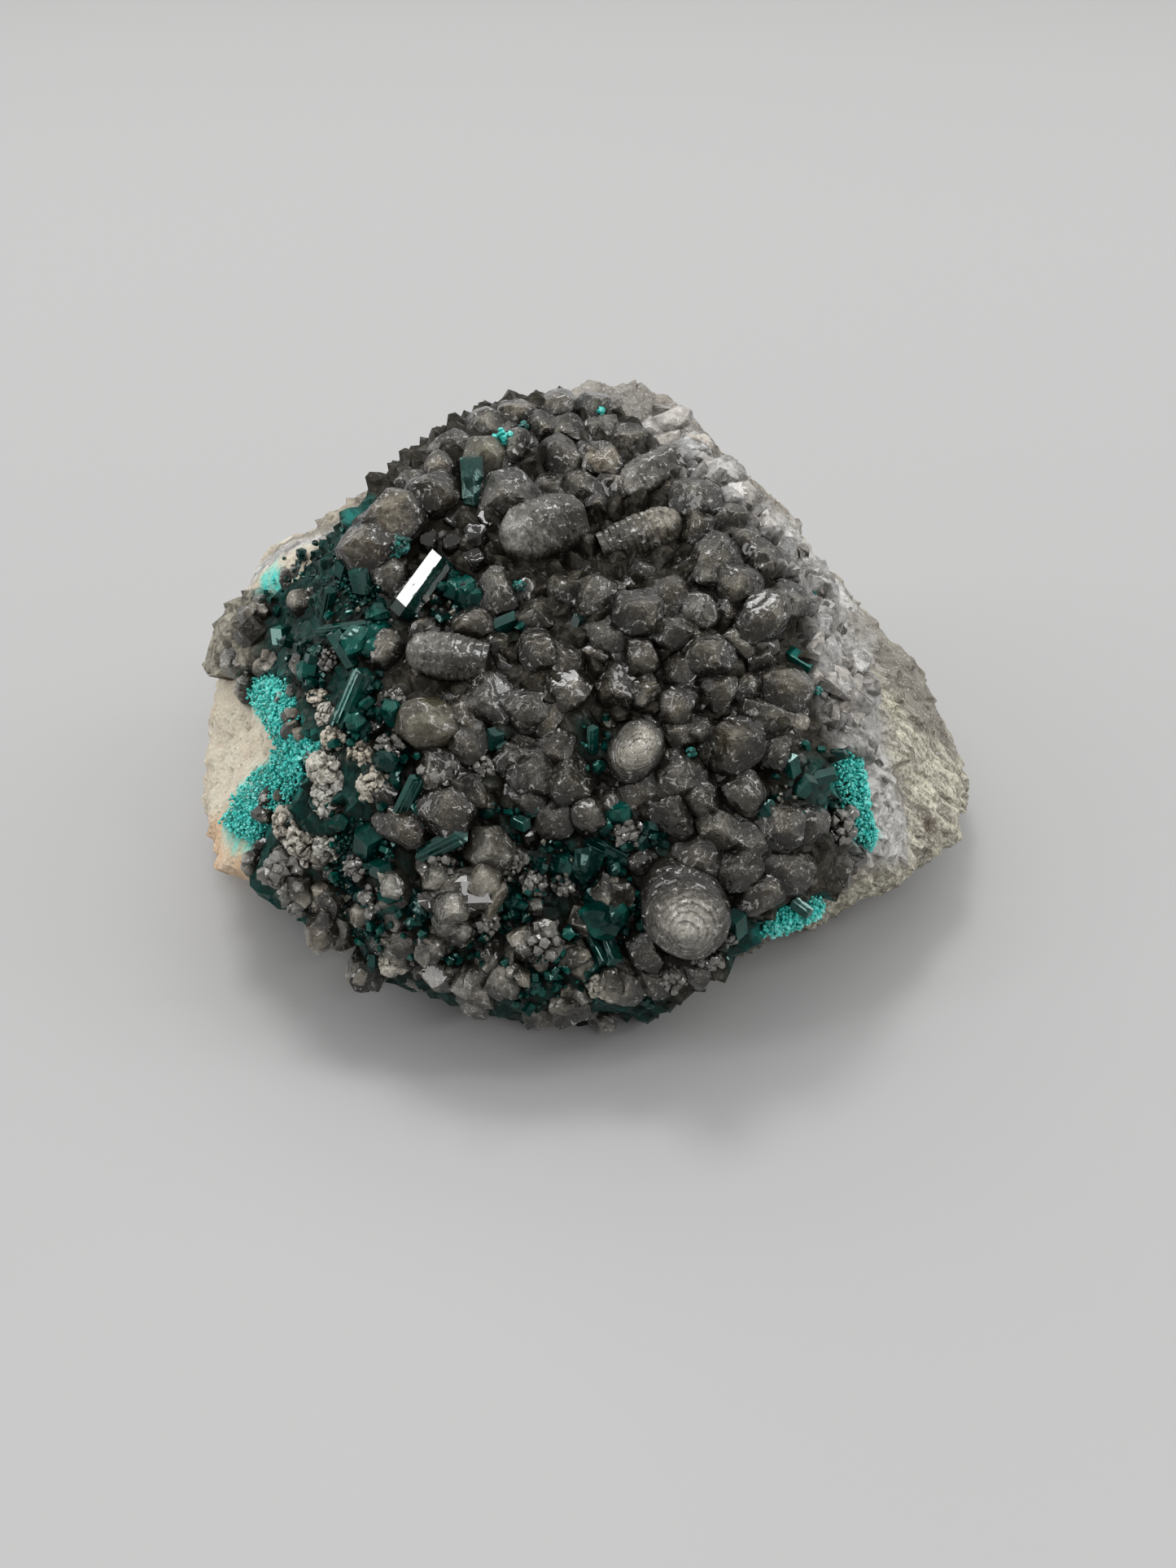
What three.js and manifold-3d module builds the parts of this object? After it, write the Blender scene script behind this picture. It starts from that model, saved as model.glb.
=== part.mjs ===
// A specimen of dioptase: emerald prisms and turquoise druse among smoky calcite crystals on a lump of host rock.
// Millimetres, +Z up. The origin is on the ground under the middle of the specimen, +X is its long way, and the
// crystals face -Y and up. Crystals are placed by sight: from EYE, across and up on a plane SIGHT_DISTANCE away.
import * as THREE from "three";
import { mergeVertices } from "three/addons/utils/BufferGeometryUtils.js";
import Module from "manifold-3d";

const wasm = await Module();
wasm.setup();

// Driving sizes
const LUMP_CENTRE = new THREE.Vector3(0, -0.5, 22); // every radius of the lump is measured from here
const EYE_OFFSET = new THREE.Vector3(0, -118, 84.4); // from LUMP_CENTRE to the eye that places the crystals
const SIGHT_PITCH = 40.58; // degrees that the eye looks down
const SIGHT_DISTANCE = 147.5; // from the eye to the plane that across and up are measured on
const GAP = 0.3; // clearance between neighbouring pieces
const GROUND_CLEARANCE = 0.8; // lowest that a crystal reaches above the ground
const LUMP_DETAIL = 6; // subdivisions of the icosahedron that the lump is drawn on
const ROUNDING = 26; // power of the blend between broken faces; higher is sharper
const OUTLINE_SPREAD = 1.03; // how far the side faces stand out from the sight lines
const COAT = 0.9; // thickness of the calcite under its crystals
const DRUSE = 1.0; // thickness of the turquoise druse
const LARGE_CALCITE = 2.4; // half-width above which a calcite has a shoulder
const GOLDEN_ANGLE = Math.PI * (3 - Math.sqrt(5));

// Broken faces of the lump: azimuth from +X towards +Y and elevation of the way each one looks, in degrees, and
// its distance from LUMP_CENTRE
const BROKEN_FACES = [
  [-90, 12, 38.5], [-88, 36, 25.5], [-92, 54, 20.5], [-95, 67, 20.0], [-70, 76, 23.5],
  [88, 58, 36.0], [84, 16, 38.5], [108, -4, 41.0], [60, -6, 41.5],
  [178, 8, 46.6], [138, 50, 32.0], [146, 12, 43.5], [-158, 40, 31.0], [-128, 28, 33.5],
  [-8, 41, 27.8], [-42, 36, 29.0], [38, 38, 36.0], [40, 6, 43.5], [12, 15, 48.8],
  [-90, -38, 42.5], [-140, -35, 44.0], [-35, -35, 46.0], [10, -35, 52.0], [140, -24, 46.0],
];

// Outline of the lump by sight, across and up; each stretch is a side face that is seen edge on
const OUTLINE = [
  [-49.8, -1], [-45.6, 22], [-39.8, 27.4], [4.5, 51.5], [9, 50.8], [42.4, 13.2],
  [55, -1.8], [41, -10.2], [6.5, -27.4], [-5, -26.8], [-30, -17.4], [-48.6, -6],
];

// Unevenness of the broken faces: wavelength and height
const RIPPLES = [[27, 0.7], [13, 0.5], [7, 0.3]];
const RIPPLE_WAVES = 9; // plane waves that are summed in each ripple

// Edge of the calcite crust by sight, across and up
const CRUST_EDGE = [
  [2, 46.5], [9, 42], [19, 33.5], [27.5, 25], [29, 15], [34, -1], [35, -5], [34.5, -8.5], [28.5, -15.5],
  [20, -20.5], [15, -23.5], [7, -29.5], [0, -33], [-16, -31], [-28, -29], [-36, -23], [-41.5, -11], [-43, -6],
  [-38.5, -0.5], [-36.5, 2], [-38.5, 8], [-40, 11], [-48, 13], [-50, 17], [-46, 21.5], [-40, 25], [-31.5, 30.5],
  [-24.5, 38], [-15, 45], [-5, 48],
];

// Drusy turquoise coats by sight, across and up
const DRUSE_EDGES = {
  druse_left_band: [
    [-41.5, 11.8], [-39, 13.2], [-36.8, 12.2], [-35, 9.8], [-35.2, 7], [-33, 6.4], [-32.2, 4.6], [-33.6, 2.4],
    [-35.8, 0.4], [-36.2, -1.6], [-38, -2.9], [-40, -4.2], [-40.4, -7.8], [-42, -6.4], [-44.6, -5], [-42.8, -2.4],
    [-40.6, -0.8], [-38, 1], [-36.8, 3], [-37.2, 5], [-38.6, 7], [-38.9, 9.8], [-41.2, 10.8],
  ],
  druse_upper_left: [
    [-38.2, 24.6], [-36, 26.4], [-33, 27.9], [-30.6, 30.4], [-26.4, 33.6], [-25.6, 32], [-28.4, 28], [-25.4, 26],
    [-25.2, 22], [-28, 20.6], [-31, 19.6], [-33, 20.6], [-34, 24.6],
  ],
  druse_right: [
    [30.4, 2.6], [31.6, 3.3], [32.9, 4.4], [33.6, 1.6], [34.2, -1.4], [34.6, -4.4], [35.4, -6], [34.8, -7.6],
    [33.2, -6.2], [32.6, -3.6], [31.8, -1], [31.4, 1],
  ],
  druse_lower_right: [
    [23, -15.6], [25, -14.6], [27, -14.2], [28.9, -14.8], [28.2, -16.2], [25.8, -17.2], [23.8, -18], [21, -18.6],
    [21.4, -16.6],
  ],
  druse_lower_left: [
    [-30, -3], [-27, -3], [-25.2, -5.4], [-24, -9], [-24.4, -11.6], [-27, -12], [-30, -12.6], [-32.4, -11.4],
    [-31, -9], [-30.2, -6],
  ],
  druse_foot: [[6, -26.6], [9, -26.9], [11.4, -26], [10.8, -27.6], [8.6, -28.8], [6, -28.4]],
};

// Standing calcites: across and up by sight, half-width there, and height in half-widths
const CALCITES = [
  // Top of the face
  [-13.0, 41.0, 2.8, 1.0], [-19.4, 36.2, 2.6, 1.0],
  [-24.2, 33.0, 2.9, 1.0], [-9.2, 35.6, 2.9, 1.1], [-4.0, 40.2, 2.1, 1.1], [2.0, 39.8, 2.1, 1.0],
  [-2.2, 43.7, 2.0, 0.9], [-8.6, 41.6, 2.0, 1.0], [-0.8, 36.4, 2.0, 1.0],
  // Upper right of the face
  [13.8, 31.0, 2.1, 1.1], [15.7, 27.6, 2.5, 1.1], [13.3, 35.5, 2.5, 1.0], [18.7, 25.0, 2.3, 1.2],
  [25.0, 22.8, 2.2, 0.9], [21.6, 20.4, 2.5, 1.1],
  [14.8, 15.4, 2.3, 1.2], [24.7, 11.6, 2.5, 1.0], [16.0, 11.4, 2.0, 1.1], [18.6, 4.4, 2.8, 1.1],
  [28.6, 9.4, 2.0, 0.5],
  // Middle of the face
  [-14.4, 20.2, 2.0, 1.2], [-6.4, 20.6, 2.0, 1.0], [2.2, 18.0, 2.0, 1.1], [-2.4, 24.0, 2.1, 1.0],
  [-7.6, 9.2, 2.2, 1.0], [11.2, 10.2, 2.1, 1.1], [3.6, 12.2, 2.1, 1.1],
  [-14.6, 29.6, 2.2, 0.9], [-11.0, 22.8, 2.1, 1.2], [-6.0, 16.6, 2.2, 1.1],
  [1.0, 23.2, 2.2, 1.1], [5.7, 21.4, 2.3, 1.2], [10.2, 23.4, 2.1, 1.2],
  [13.8, 21.4, 2.1, 1.4], [10.8, 19.0, 2.1, 1.1], [-2.2, 11.6, 2.0, 1.1],
  [-12.2, 10.4, 2.4, 1.1], [-14.8, 5.4, 2.0, 1.0],
  [5.9, 4.2, 3.7, 1.2],
  // Lower right of the face
  [11.4, 1.0, 2.3, 1.1], [14.6, -1.2, 2.0, 1.1], [19.4, -1.0, 2.2, 1.1], [9.8, -3.4, 2.2, 1.1],
  [16.2, -5.6, 2.6, 1.1], [20.4, -7.0, 2.0, 1.1], [24.0, -6.2, 2.5, 1.1], [27.8, -4.6, 2.0, 1.0],
  [30.6, -1.0, 2.0, 0.8], [18.8, -10.4, 2.1, 1.0], [25.0, -11.2, 2.3, 1.0],
  [21.4, -13.4, 2.3, 0.9], [14.2, -9.4, 2.1, 0.9],
  [7.0, -20.6, 2.0, 1.0],
  // Middle and lower left of the face
  [-2.4, 0.2, 2.5, 1.2], [-6.6, 1.4, 2.2, 1.1], [-4.0, 4.4, 2.0, 1.0],
  [-4.0, -4.4, 2.1, 1.0], [-12.2, -8.2, 3.0, 1.2], [-14.4, -0.4, 2.0, 1.0], [-7.4, -20.0, 2.0, 1.1], [-17.2, -3.2, 2.4, 1.0],
  [-18.2, 2.0, 2.3, 1.1], [-19.8, 7.4, 3.6, 1.1], [-15.0, 8.0, 2.2, 1.0],
  [-22.6, -5.4, 2.3, 1.0], [-13.8, -13.8, 2.9, 1.1], [-18.4, -14.8, 2.5, 1.1],
  [-15.2, -18.0, 2.4, 1.2], [-19.0, -11.0, 2.0, 1.2], [2.4, -13.0, 2.2, 1.3],
  [-1.8, -21.6, 2.2, 1.2], [-24.0, -13.2, 2.2, 1.1],
  // Rim along the bottom
  [4.4, -25.2, 2.3, 0.9], [-1.6, -27.4, 2.6, 0.8], [-9.4, -24.2, 2.5, 0.7],
  [-24.0, -21.4, 2.4, 0.9], [-19.6, -21.0, 2.0, 0.8], [-31.2, -18.8, 2.4, 0.9],
  [-32.0, -14.8, 2.1, 1.1],
  // Pale knobs on the left
  [-32.4, 2.0, 2.2, 1.2], [-32.4, -1.8, 2.1, 1.2], [-26.4, -0.2, 2.3, 1.2],
  [-37.2, -4.8, 2.4, 1.0], [-35.4, -8.0, 2.3, 1.0],
  [-36.6, 15.0, 2.1, 1.2], [-35.2, 21.6, 2.2, 1.0], [-41.2, 20.4, 2.4, 0.6], [-24.0, 25.6, 2.0, 0.9],
  [-27.4, 29.2, 2.6, 1.1],
];

// Lying calcites: the foot and the tip by sight, half-width, and how far the tip stands off the lump in mm
const LYING_CALCITES = [
  { foot: [-1.6, 31.0], tip: [-10.6, 28.4], halfWidth: 3.4, stand: 2.2 },
  { foot: [10.6, 38.4], tip: [4.0, 34.6], halfWidth: 2.4, stand: 1.4 },
  { foot: [2.0, 27.4], tip: [11.6, 31.4], halfWidth: 2.5, stand: 1.8 },
  { foot: [-12.0, 14.4], tip: [-22.2, 15.8], halfWidth: 2.6, stand: 1.4 },
  { foot: [18.4, 9.2], tip: [26.2, 6.4], halfWidth: 1.7, stand: 1.2 },
  { foot: [11.2, -11.4], tip: [12.4, -21.0], halfWidth: 4.4, stand: 4.0 },
];

// Dioptase, one node for each crystal or each group grown together. By sight: centre across and up, length, width,
// heading from across towards up in degrees. Then the pitch out of the lump in degrees and the lift of its middle.
const DIOPTASES = {
  dioptase_bright_prism: [[-20.6, 24.2, 8.6, 3.4, 51, 6, 2.6]],
  dioptase_upper_prism: [[-14.0, 36.8, 5.6, 3.2, 96, 24, 2.0]],
  dioptase_shoulder_block: [[-23.2, 29.4, 3.2, 2.6, 62, 20, 2.0]],
  dioptase_left_prism: [[-29.2, 10.4, 8.4, 3.3, 63, 8, 2.0]],
  dioptase_left_upright: [[-30.3, 16.2, 4.8, 2.1, 112, 20, 1.8]],
  dioptase_left_blade: [[-32.2, 22.0, 5.0, 1.9, 60, 18, 1.8]],
  dioptase_left_bundle: [[-30.0, 18.9, 7.4, 1.7, 4, 4, 1.3]],
  dioptase_far_left_block: [[-37.4, 17.8, 3.4, 3.0, 80, 20, 1.4]],
  dioptase_dark_group: [[-28.0, 24.8, 3.6, 2.8, 100, 30, 1.4], [-30.4, 26.2, 3.0, 2.4, 50, 30, 1.4]],
  dioptase_middle_prism: [[-22.2, -1.8, 7.0, 2.5, 61, 12, 2.2]],
  dioptase_striped_prism: [[-18.0, -7.6, 7.4, 2.6, 28, 8, 2.0]],
  dioptase_glinting_group: [
    [-8.3, -4.7, 3.0, 2.1, -20, 24, 1.8], [-6.6, -3.2, 2.8, 2.0, 20, 20, 1.5],
  ],
  dioptase_shaded_block: [[-12.4, -2.9, 3.0, 2.2, 80, 24, 1.3]],
  dioptase_right_block: [[7.7, -5.3, 2.6, 2.3, 35, 30, 1.8], [6.6, -7.2, 2.4, 2.0, 100, 30, 1.4]],
  dioptase_long_flat_prism: [[2.6, -8.0, 7.0, 2.2, -26, 4, 1.4]],
  dioptase_foot_blade: [[1.0, -20.2, 4.6, 1.3, -62, 14, 1.6], [2.8, -20.6, 4.2, 2.4, -70, 24, 1.3]],
  dioptase_centre_group: [[-11.6, 5.6, 3.4, 2.6, 70, 26, 1.5], [-10.2, 4.2, 2.6, 2.2, 110, 26, 1.3]],
  dioptase_dark_lens: [[-10.3, 19.6, 4.0, 2.6, 18, 8, 1.2]],
  dioptase_small_glint: [[-1.2, 19.8, 2.8, 2.3, 60, 30, 1.6]],
  dioptase_hollow_group: [[0.6, 5.4, 4.0, 1.9, 92, 16, 1.3]],
  dioptase_rim_prism: [[25.8, 15.3, 4.2, 2.7, -36, 6, 1.5]],
  dioptase_rim_sliver: [[27.3, 22.3, 2.8, 1.5, 88, 8, 1.2]],
  dioptase_right_hollow_group: [
    [25.0, 2.2, 3.6, 2.6, 110, 24, 1.3], [26.8, -0.6, 3.4, 2.4, 60, 24, 1.3], [28.8, 0.8, 2.8, 2.2, 20, 24, 1.2],
  ],
  dioptase_lower_right_block: [[18.2, -17.0, 4.4, 3.2, 100, 18, 1.4]],
  dioptase_lower_right_glassy: [[26.2, -15.0, 3.2, 1.9, -40, 14, 1.5]],
  dioptase_lower_left_body: [[-27.0, -7.0, 4.8, 4.0, 70, 28, 1.5], [-25.4, -10.6, 3.4, 2.8, -20, 20, 1.4]],
  dioptase_lower_left_flake: [[-30.4, -4.7, 2.8, 2.4, 10, 24, 1.5]],
};

// Base, calcite, druse and dioptase materials
const MATERIALS = {
  rock: new THREE.MeshStandardMaterial({ color: 0xa39c8c, roughness: 0.9, metalness: 0 }),
  calcite: new THREE.MeshStandardMaterial({ color: 0x6d6862, roughness: 0.3, metalness: 0 }),
  druse: new THREE.MeshStandardMaterial({ color: 0x1c948a, roughness: 0.45, metalness: 0 }),
  dioptase: new THREE.MeshStandardMaterial({ color: 0x0a5a4c, roughness: 0.12, metalness: 0 }),
};

// The sight plane
const EYE = LUMP_CENTRE.clone().add(EYE_OFFSET);
const PITCH = THREE.MathUtils.degToRad(SIGHT_PITCH);
const SIGHT_RIGHT = new THREE.Vector3(1, 0, 0);
const SIGHT_LOOK = new THREE.Vector3(0, Math.cos(PITCH), -Math.sin(PITCH));
const SIGHT_UP = new THREE.Vector3(0, Math.sin(PITCH), Math.cos(PITCH));

function sightLine(across, up) {
  const line = SIGHT_LOOK.clone().multiplyScalar(SIGHT_DISTANCE);
  return line.addScaledVector(SIGHT_RIGHT, across).addScaledVector(SIGHT_UP, up).normalize();
}

function bySight(point) {
  const from = point.clone().sub(EYE);
  const scale = SIGHT_DISTANCE / from.dot(SIGHT_LOOK);
  return [from.dot(SIGHT_RIGHT) * scale, from.dot(SIGHT_UP) * scale];
}

// Shape of the lump
function wayOf(azimuth, elevation) {
  const turn = THREE.MathUtils.degToRad(azimuth);
  const rise = THREE.MathUtils.degToRad(elevation);
  return new THREE.Vector3(Math.cos(rise) * Math.cos(turn), Math.cos(rise) * Math.sin(turn), Math.sin(rise));
}

function outlineFaces() {
  return OUTLINE.map(([across, up], i) => {
    const [nextAcross, nextUp] = OUTLINE[(i + 1) % OUTLINE.length];
    const way = sightLine(nextAcross, nextUp).cross(sightLine(across, up)).normalize();
    const reach = way.dot(EYE_OFFSET);
    way.multiplyScalar(Math.sign(reach));
    return { way, distance: Math.abs(reach) * OUTLINE_SPREAD };
  });
}

const LUMP_FACES = [
  ...BROKEN_FACES.map(([azimuth, elevation, distance]) => ({ way: wayOf(azimuth, elevation), distance })),
  ...outlineFaces(),
];

// Distance to the blended broken faces along a direction: a high-power mean of the distances to each plane
function faceRadius(direction) {
  let sum = 0;
  for (const { way, distance } of LUMP_FACES) {
    sum += Math.max(0, way.dot(direction) / distance) ** ROUNDING;
  }
  return sum ** (-1 / ROUNDING);
}

// A sum of plane waves whose directions are spread evenly over a sphere
function ripple(point, wavelength) {
  let sum = 0;
  for (let k = 0; k < RIPPLE_WAVES; k++) {
    const z = 1 - (2 * k + 1) / RIPPLE_WAVES;
    const ring = Math.sqrt(1 - z * z);
    const turn = k * GOLDEN_ANGLE;
    const along = point.x * ring * Math.cos(turn) + point.y * ring * Math.sin(turn) + point.z * z;
    sum += Math.sin((2 * Math.PI * along) / wavelength + k * k);
  }
  return sum / Math.sqrt(RIPPLE_WAVES);
}

function lumpRadius(direction) {
  const radius = faceRadius(direction);
  const point = direction.clone().multiplyScalar(radius);
  return RIPPLES.reduce((sum, [wavelength, height]) => sum + height * ripple(point, wavelength), radius);
}

// How far a point is outside the lump, along its radius
function outside(point) {
  const from = point.clone().sub(LUMP_CENTRE);
  const length = from.length();
  return length - lumpRadius(from.divideScalar(length));
}

const SLOPE_STEP = 1.2; // reach of the differences that give the lump's normal

function normalAt(point) {
  const slope = ["x", "y", "z"].map((axis) => {
    const ahead = point.clone();
    const behind = point.clone();
    ahead[axis] += SLOPE_STEP;
    behind[axis] -= SLOPE_STEP;
    return outside(ahead) - outside(behind);
  });
  return new THREE.Vector3(...slope).normalize();
}

const MARCH_START = 70; // nearest that the lump comes to the eye
const MARCH_END = 200;
const MARCH_STEP = 1;

// Where a sight line meets the lump, or passes closest to it, with the normal and the way back to the eye there
function castOnLump(across, up) {
  const line = sightLine(across, up);
  const at = (distance) => EYE.clone().addScaledVector(line, distance);
  let nearest = MARCH_START;
  let least = Infinity;
  for (let distance = MARCH_START; distance < MARCH_END && least > 0; distance += MARCH_STEP) {
    const clear = outside(at(distance));
    if (clear < least) {
      least = clear;
      nearest = distance;
    }
  }
  if (least <= 0) {
    nearest += least; // one correction along the line is close enough after a step of 1 mm
  }
  const point = at(nearest);
  const scale = point.clone().sub(EYE).dot(SIGHT_LOOK) / SIGHT_DISTANCE;
  return { point, normal: normalAt(point), toEye: line.clone().negate(), scale };
}

// The cast for a crystal whose middle is seen at a place by sight and stands off the lump by a height
function castUnder(across, up, height, axisAt) {
  const cast = castOnLump(across, up);
  const [seenAcross, seenUp] = bySight(cast.point.clone().addScaledVector(axisAt(cast), height * cast.scale));
  return castOnLump(2 * across - seenAcross, 2 * up - seenUp);
}

// Solids
function solidOf(positions, triangles) {
  const mesh = new wasm.Mesh({
    numProp: 3,
    vertProperties: new Float32Array(positions),
    triVerts: new Uint32Array(triangles),
  });
  return new wasm.Manifold(mesh);
}

function solidOfGeometry(geometry) {
  geometry.deleteAttribute("normal");
  geometry.deleteAttribute("uv");
  const merged = mergeVertices(geometry);
  return solidOf(merged.getAttribute("position").array, merged.getIndex().array);
}

// The lump's own surface, moved out by an offset
function lumpSolid(offset) {
  const geometry = new THREE.IcosahedronGeometry(1, LUMP_DETAIL);
  const position = geometry.getAttribute("position");
  const direction = new THREE.Vector3();
  for (let i = 0; i < position.count; i++) {
    direction.fromBufferAttribute(position, i).normalize();
    const radius = lumpRadius(direction) + offset;
    position.setXYZ(
      i,
      LUMP_CENTRE.x + direction.x * radius,
      LUMP_CENTRE.y + direction.y * radius,
      LUMP_CENTRE.z + direction.z * radius,
    );
  }
  return solidOfGeometry(geometry);
}

const GROUND_SPAN = 200; // side of the block that cuts everything level with the ground

function aboveGround(height) {
  const block = new THREE.BoxGeometry(GROUND_SPAN, GROUND_SPAN, GROUND_SPAN);
  block.translate(0, 0, GROUND_SPAN / 2 + height);
  return solidOfGeometry(block);
}

// A crystal as rings of corners between two points, every other corner raised by its ring's zigzag
function crystalSolid(levels, sides, placing) {
  const corner = new THREE.Vector3();
  const positions = [];
  const triangles = [];
  let ring = [];
  for (const { height, radius, zigzag = 0 } of levels) {
    const count = radius > 0 ? sides : 1;
    const next = [];
    for (let side = 0; side < count; side++) {
      const turn = (2 * Math.PI * side) / sides;
      const raise = side % 2 ? zigzag : -zigzag;
      corner.set(radius * Math.cos(turn), radius * Math.sin(turn), height + raise).applyMatrix4(placing);
      next.push(positions.length / 3);
      positions.push(corner.x, corner.y, corner.z);
    }
    for (let side = 0; ring.length && side < sides; side++) {
      const after = (side + 1) % sides;
      if (next.length > 1) {
        triangles.push(ring[side % ring.length], next[after], next[side]);
      }
      if (ring.length > 1) {
        triangles.push(ring[side], ring[after], next[after % next.length]);
      }
    }
    ring = next;
  }
  return solidOf(positions, triangles);
}

// A frame with its Z along the axis, turned about it
function placingAlong(point, axis, turn) {
  const spin = new THREE.Quaternion().setFromAxisAngle(new THREE.Vector3(0, 0, 1), turn);
  const lean = new THREE.Quaternion().setFromUnitVectors(new THREE.Vector3(0, 0, 1), axis);
  return new THREE.Matrix4().compose(point, lean.multiply(spin), new THREE.Vector3(1, 1, 1));
}

const CALCITE_ROOT = 1.2; // mm that a calcite reaches into the lump before it is cut
const CALCITE_CAP_SLOPE = 0.6; // mean fall of a calcite's end faces, mm per mm out from its axis
const CALCITE_ZIGZAG = 0.1; // rise and fall of the edge between its sides and its end, for each mm of radius
const CALCITE_SPREAD = 1.45; // corner radius of a calcite for each unit of its half-width
const LYING_SINK = 0.35; // share of its half-width that a lying calcite's foot stands off the lump
const CALCITE_MIDDLE = 0.8; // share of its height at which a standing calcite's place is read
const EYE_LEAN = 0.35; // share of a standing calcite's axis that leans to the eye

// A calcite is a hexagonal prism under six faces in threes; a large one has a shoulder below them
function calciteLevels(radius, height, large) {
  const zigzag = CALCITE_ZIGZAG * radius;
  const body = large
    ? [{ height: 0.45 * height, radius, zigzag }, { height: 0.8 * height, radius: 0.68 * radius, zigzag }]
    : [{ height: height - CALCITE_CAP_SLOPE * radius, radius, zigzag }];
  return [
    { height: -CALCITE_ROOT, radius: 0 },
    { height: -CALCITE_ROOT, radius },
    ...body,
    { height, radius: 0 },
  ];
}

function calciteAxis({ normal, toEye }) {
  return normal.clone().multiplyScalar(1 - EYE_LEAN).addScaledVector(toEye, EYE_LEAN).normalize();
}

function standingCalcite([across, up, halfWidth, rise], index) {
  const cast = castUnder(across, up, COAT + CALCITE_MIDDLE * halfWidth * rise, calciteAxis);
  const radius = halfWidth * cast.scale * CALCITE_SPREAD;
  const levels = calciteLevels(radius, COAT + radius * rise, halfWidth > LARGE_CALCITE);
  return crystalSolid(levels, 6, placingAlong(cast.point, calciteAxis(cast), index * GOLDEN_ANGLE));
}

function lyingCalcite({ foot, tip, halfWidth, stand }, index) {
  const from = castOnLump(...foot);
  const to = castOnLump(...tip);
  const radius = halfWidth * from.scale * CALCITE_SPREAD;
  const start = from.point.addScaledVector(from.normal, LYING_SINK * radius);
  const axis = to.point.addScaledVector(to.normal, stand).sub(start);
  const height = axis.length();
  const levels = [
    { height: 0, radius: 0 },
    { height: 0, radius: 0.8 * radius },
    { height: 0.45 * height, radius },
    { height: height - 0.55 * radius, radius: 0.82 * radius },
    { height: height - 0.12 * radius, radius: 0.4 * radius },
    { height, radius: 0 },
  ];
  return crystalSolid(levels, 8, placingAlong(start, axis.normalize(), index * GOLDEN_ANGLE));
}

const CAP_SLOPE = 0.75; // fall of a dioptase's end faces, mm per mm out from its axis
const LEAST_SEEN = 0.6; // share of its length that a foreshortened crystal is allowed to lose by sight

// A dioptase: a hexagonal prism between two ends of three rhombic faces, grown all round by a margin
function dioptaseSolid([across, up, length, width, heading, pitch, lift], margin) {
  const { point, normal, toEye, scale } = castUnder(across, up, lift, (cast) => cast.normal);
  const turn = THREE.MathUtils.degToRad(heading);
  const flat = SIGHT_RIGHT.clone().multiplyScalar(Math.cos(turn)).addScaledVector(SIGHT_UP, Math.sin(turn));
  const along = flat.addScaledVector(toEye, -flat.dot(normal) / Math.max(LEAST_SEEN, toEye.dot(normal)));
  const stretch = Math.min(1 / LEAST_SEEN, along.length());
  const tilt = THREE.MathUtils.degToRad(pitch);
  const axis = along.normalize().multiplyScalar(Math.cos(tilt)).addScaledVector(normal, Math.sin(tilt)).normalize();
  const radius = (width * scale) / 2 + margin;
  const tip = (length * scale * stretch) / 2 + margin;
  const zigzag = 0.25 * CAP_SLOPE * radius;
  const shoulder = tip - 3 * zigzag;
  const levels = [
    { height: -tip, radius: 0 },
    { height: -shoulder, radius, zigzag },
    { height: shoulder, radius, zigzag },
    { height: tip, radius: 0 },
  ];
  return crystalSolid(levels, 6, placingAlong(point.addScaledVector(normal, lift * scale), axis, turn));
}

// The edge of a patch, moved out by a margin at each corner
function grownEdge(edge, margin) {
  const turning = Math.sign(THREE.ShapeUtils.area(edge.map(([x, y]) => new THREE.Vector2(x, y))));
  return edge.map(([x, y], i) => {
    const [beforeX, beforeY] = edge[(i + edge.length - 1) % edge.length];
    const [afterX, afterY] = edge[(i + 1) % edge.length];
    const span = Math.hypot(afterX - beforeX, afterY - beforeY);
    return [
      x + (turning * margin * (afterY - beforeY)) / span,
      y - (turning * margin * (afterX - beforeX)) / span,
    ];
  });
}

// The cone of sight lines through the edge of a patch, between two depths along the middle of the sight
function sightCone(edge, near, far) {
  const outline = edge.map(([x, y]) => new THREE.Vector2(x, y));
  const turning = THREE.ShapeUtils.area(outline) > 0;
  const sides = edge.length;
  const positions = [near, far].flatMap((depth) =>
    edge.flatMap(([across, up]) => {
      const line = sightLine(across, up);
      return EYE.clone().addScaledVector(line, depth / line.dot(SIGHT_LOOK)).toArray();
    }),
  );
  const triangles = THREE.ShapeUtils.triangulateShape(outline, []).flatMap(([a, b, c]) => [
    ...[a, b, c],
    ...[c + sides, b + sides, a + sides],
  ]);
  for (let i = 0; i < sides; i++) {
    const [first, second] = turning ? [i, (i + 1) % sides] : [(i + 1) % sides, i];
    triangles.push(first, first + sides, second + sides, first, second + sides, second);
  }
  return solidOf(positions, triangles);
}

function unionOf(solids) {
  return wasm.Manifold.union(solids);
}

// The largest piece of a solid, without the crumbs that a cut leaves
function largestOf(solid) {
  const pieces = solid.decompose();
  return pieces.reduce((best, piece) => (piece.volume() > best.volume() ? piece : best));
}

const CRUST_BACK = 12; // farthest back that the coat reaches over the ridge
const CONE_REACH = 6; // how far a druse patch's cone runs before and behind the lump's surface

function druseCone(edge, margin) {
  const depths = edge.map(([across, up]) => castOnLump(across, up).scale * SIGHT_DISTANCE);
  return sightCone(grownEdge(edge, margin), Math.min(...depths) - CONE_REACH, Math.max(...depths) + CONE_REACH);
}

// The pieces
const skin = lumpSolid(GAP);
const ground = aboveGround(GROUND_CLEARANCE);
const lump = lumpSolid(0).intersect(aboveGround(0));

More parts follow.
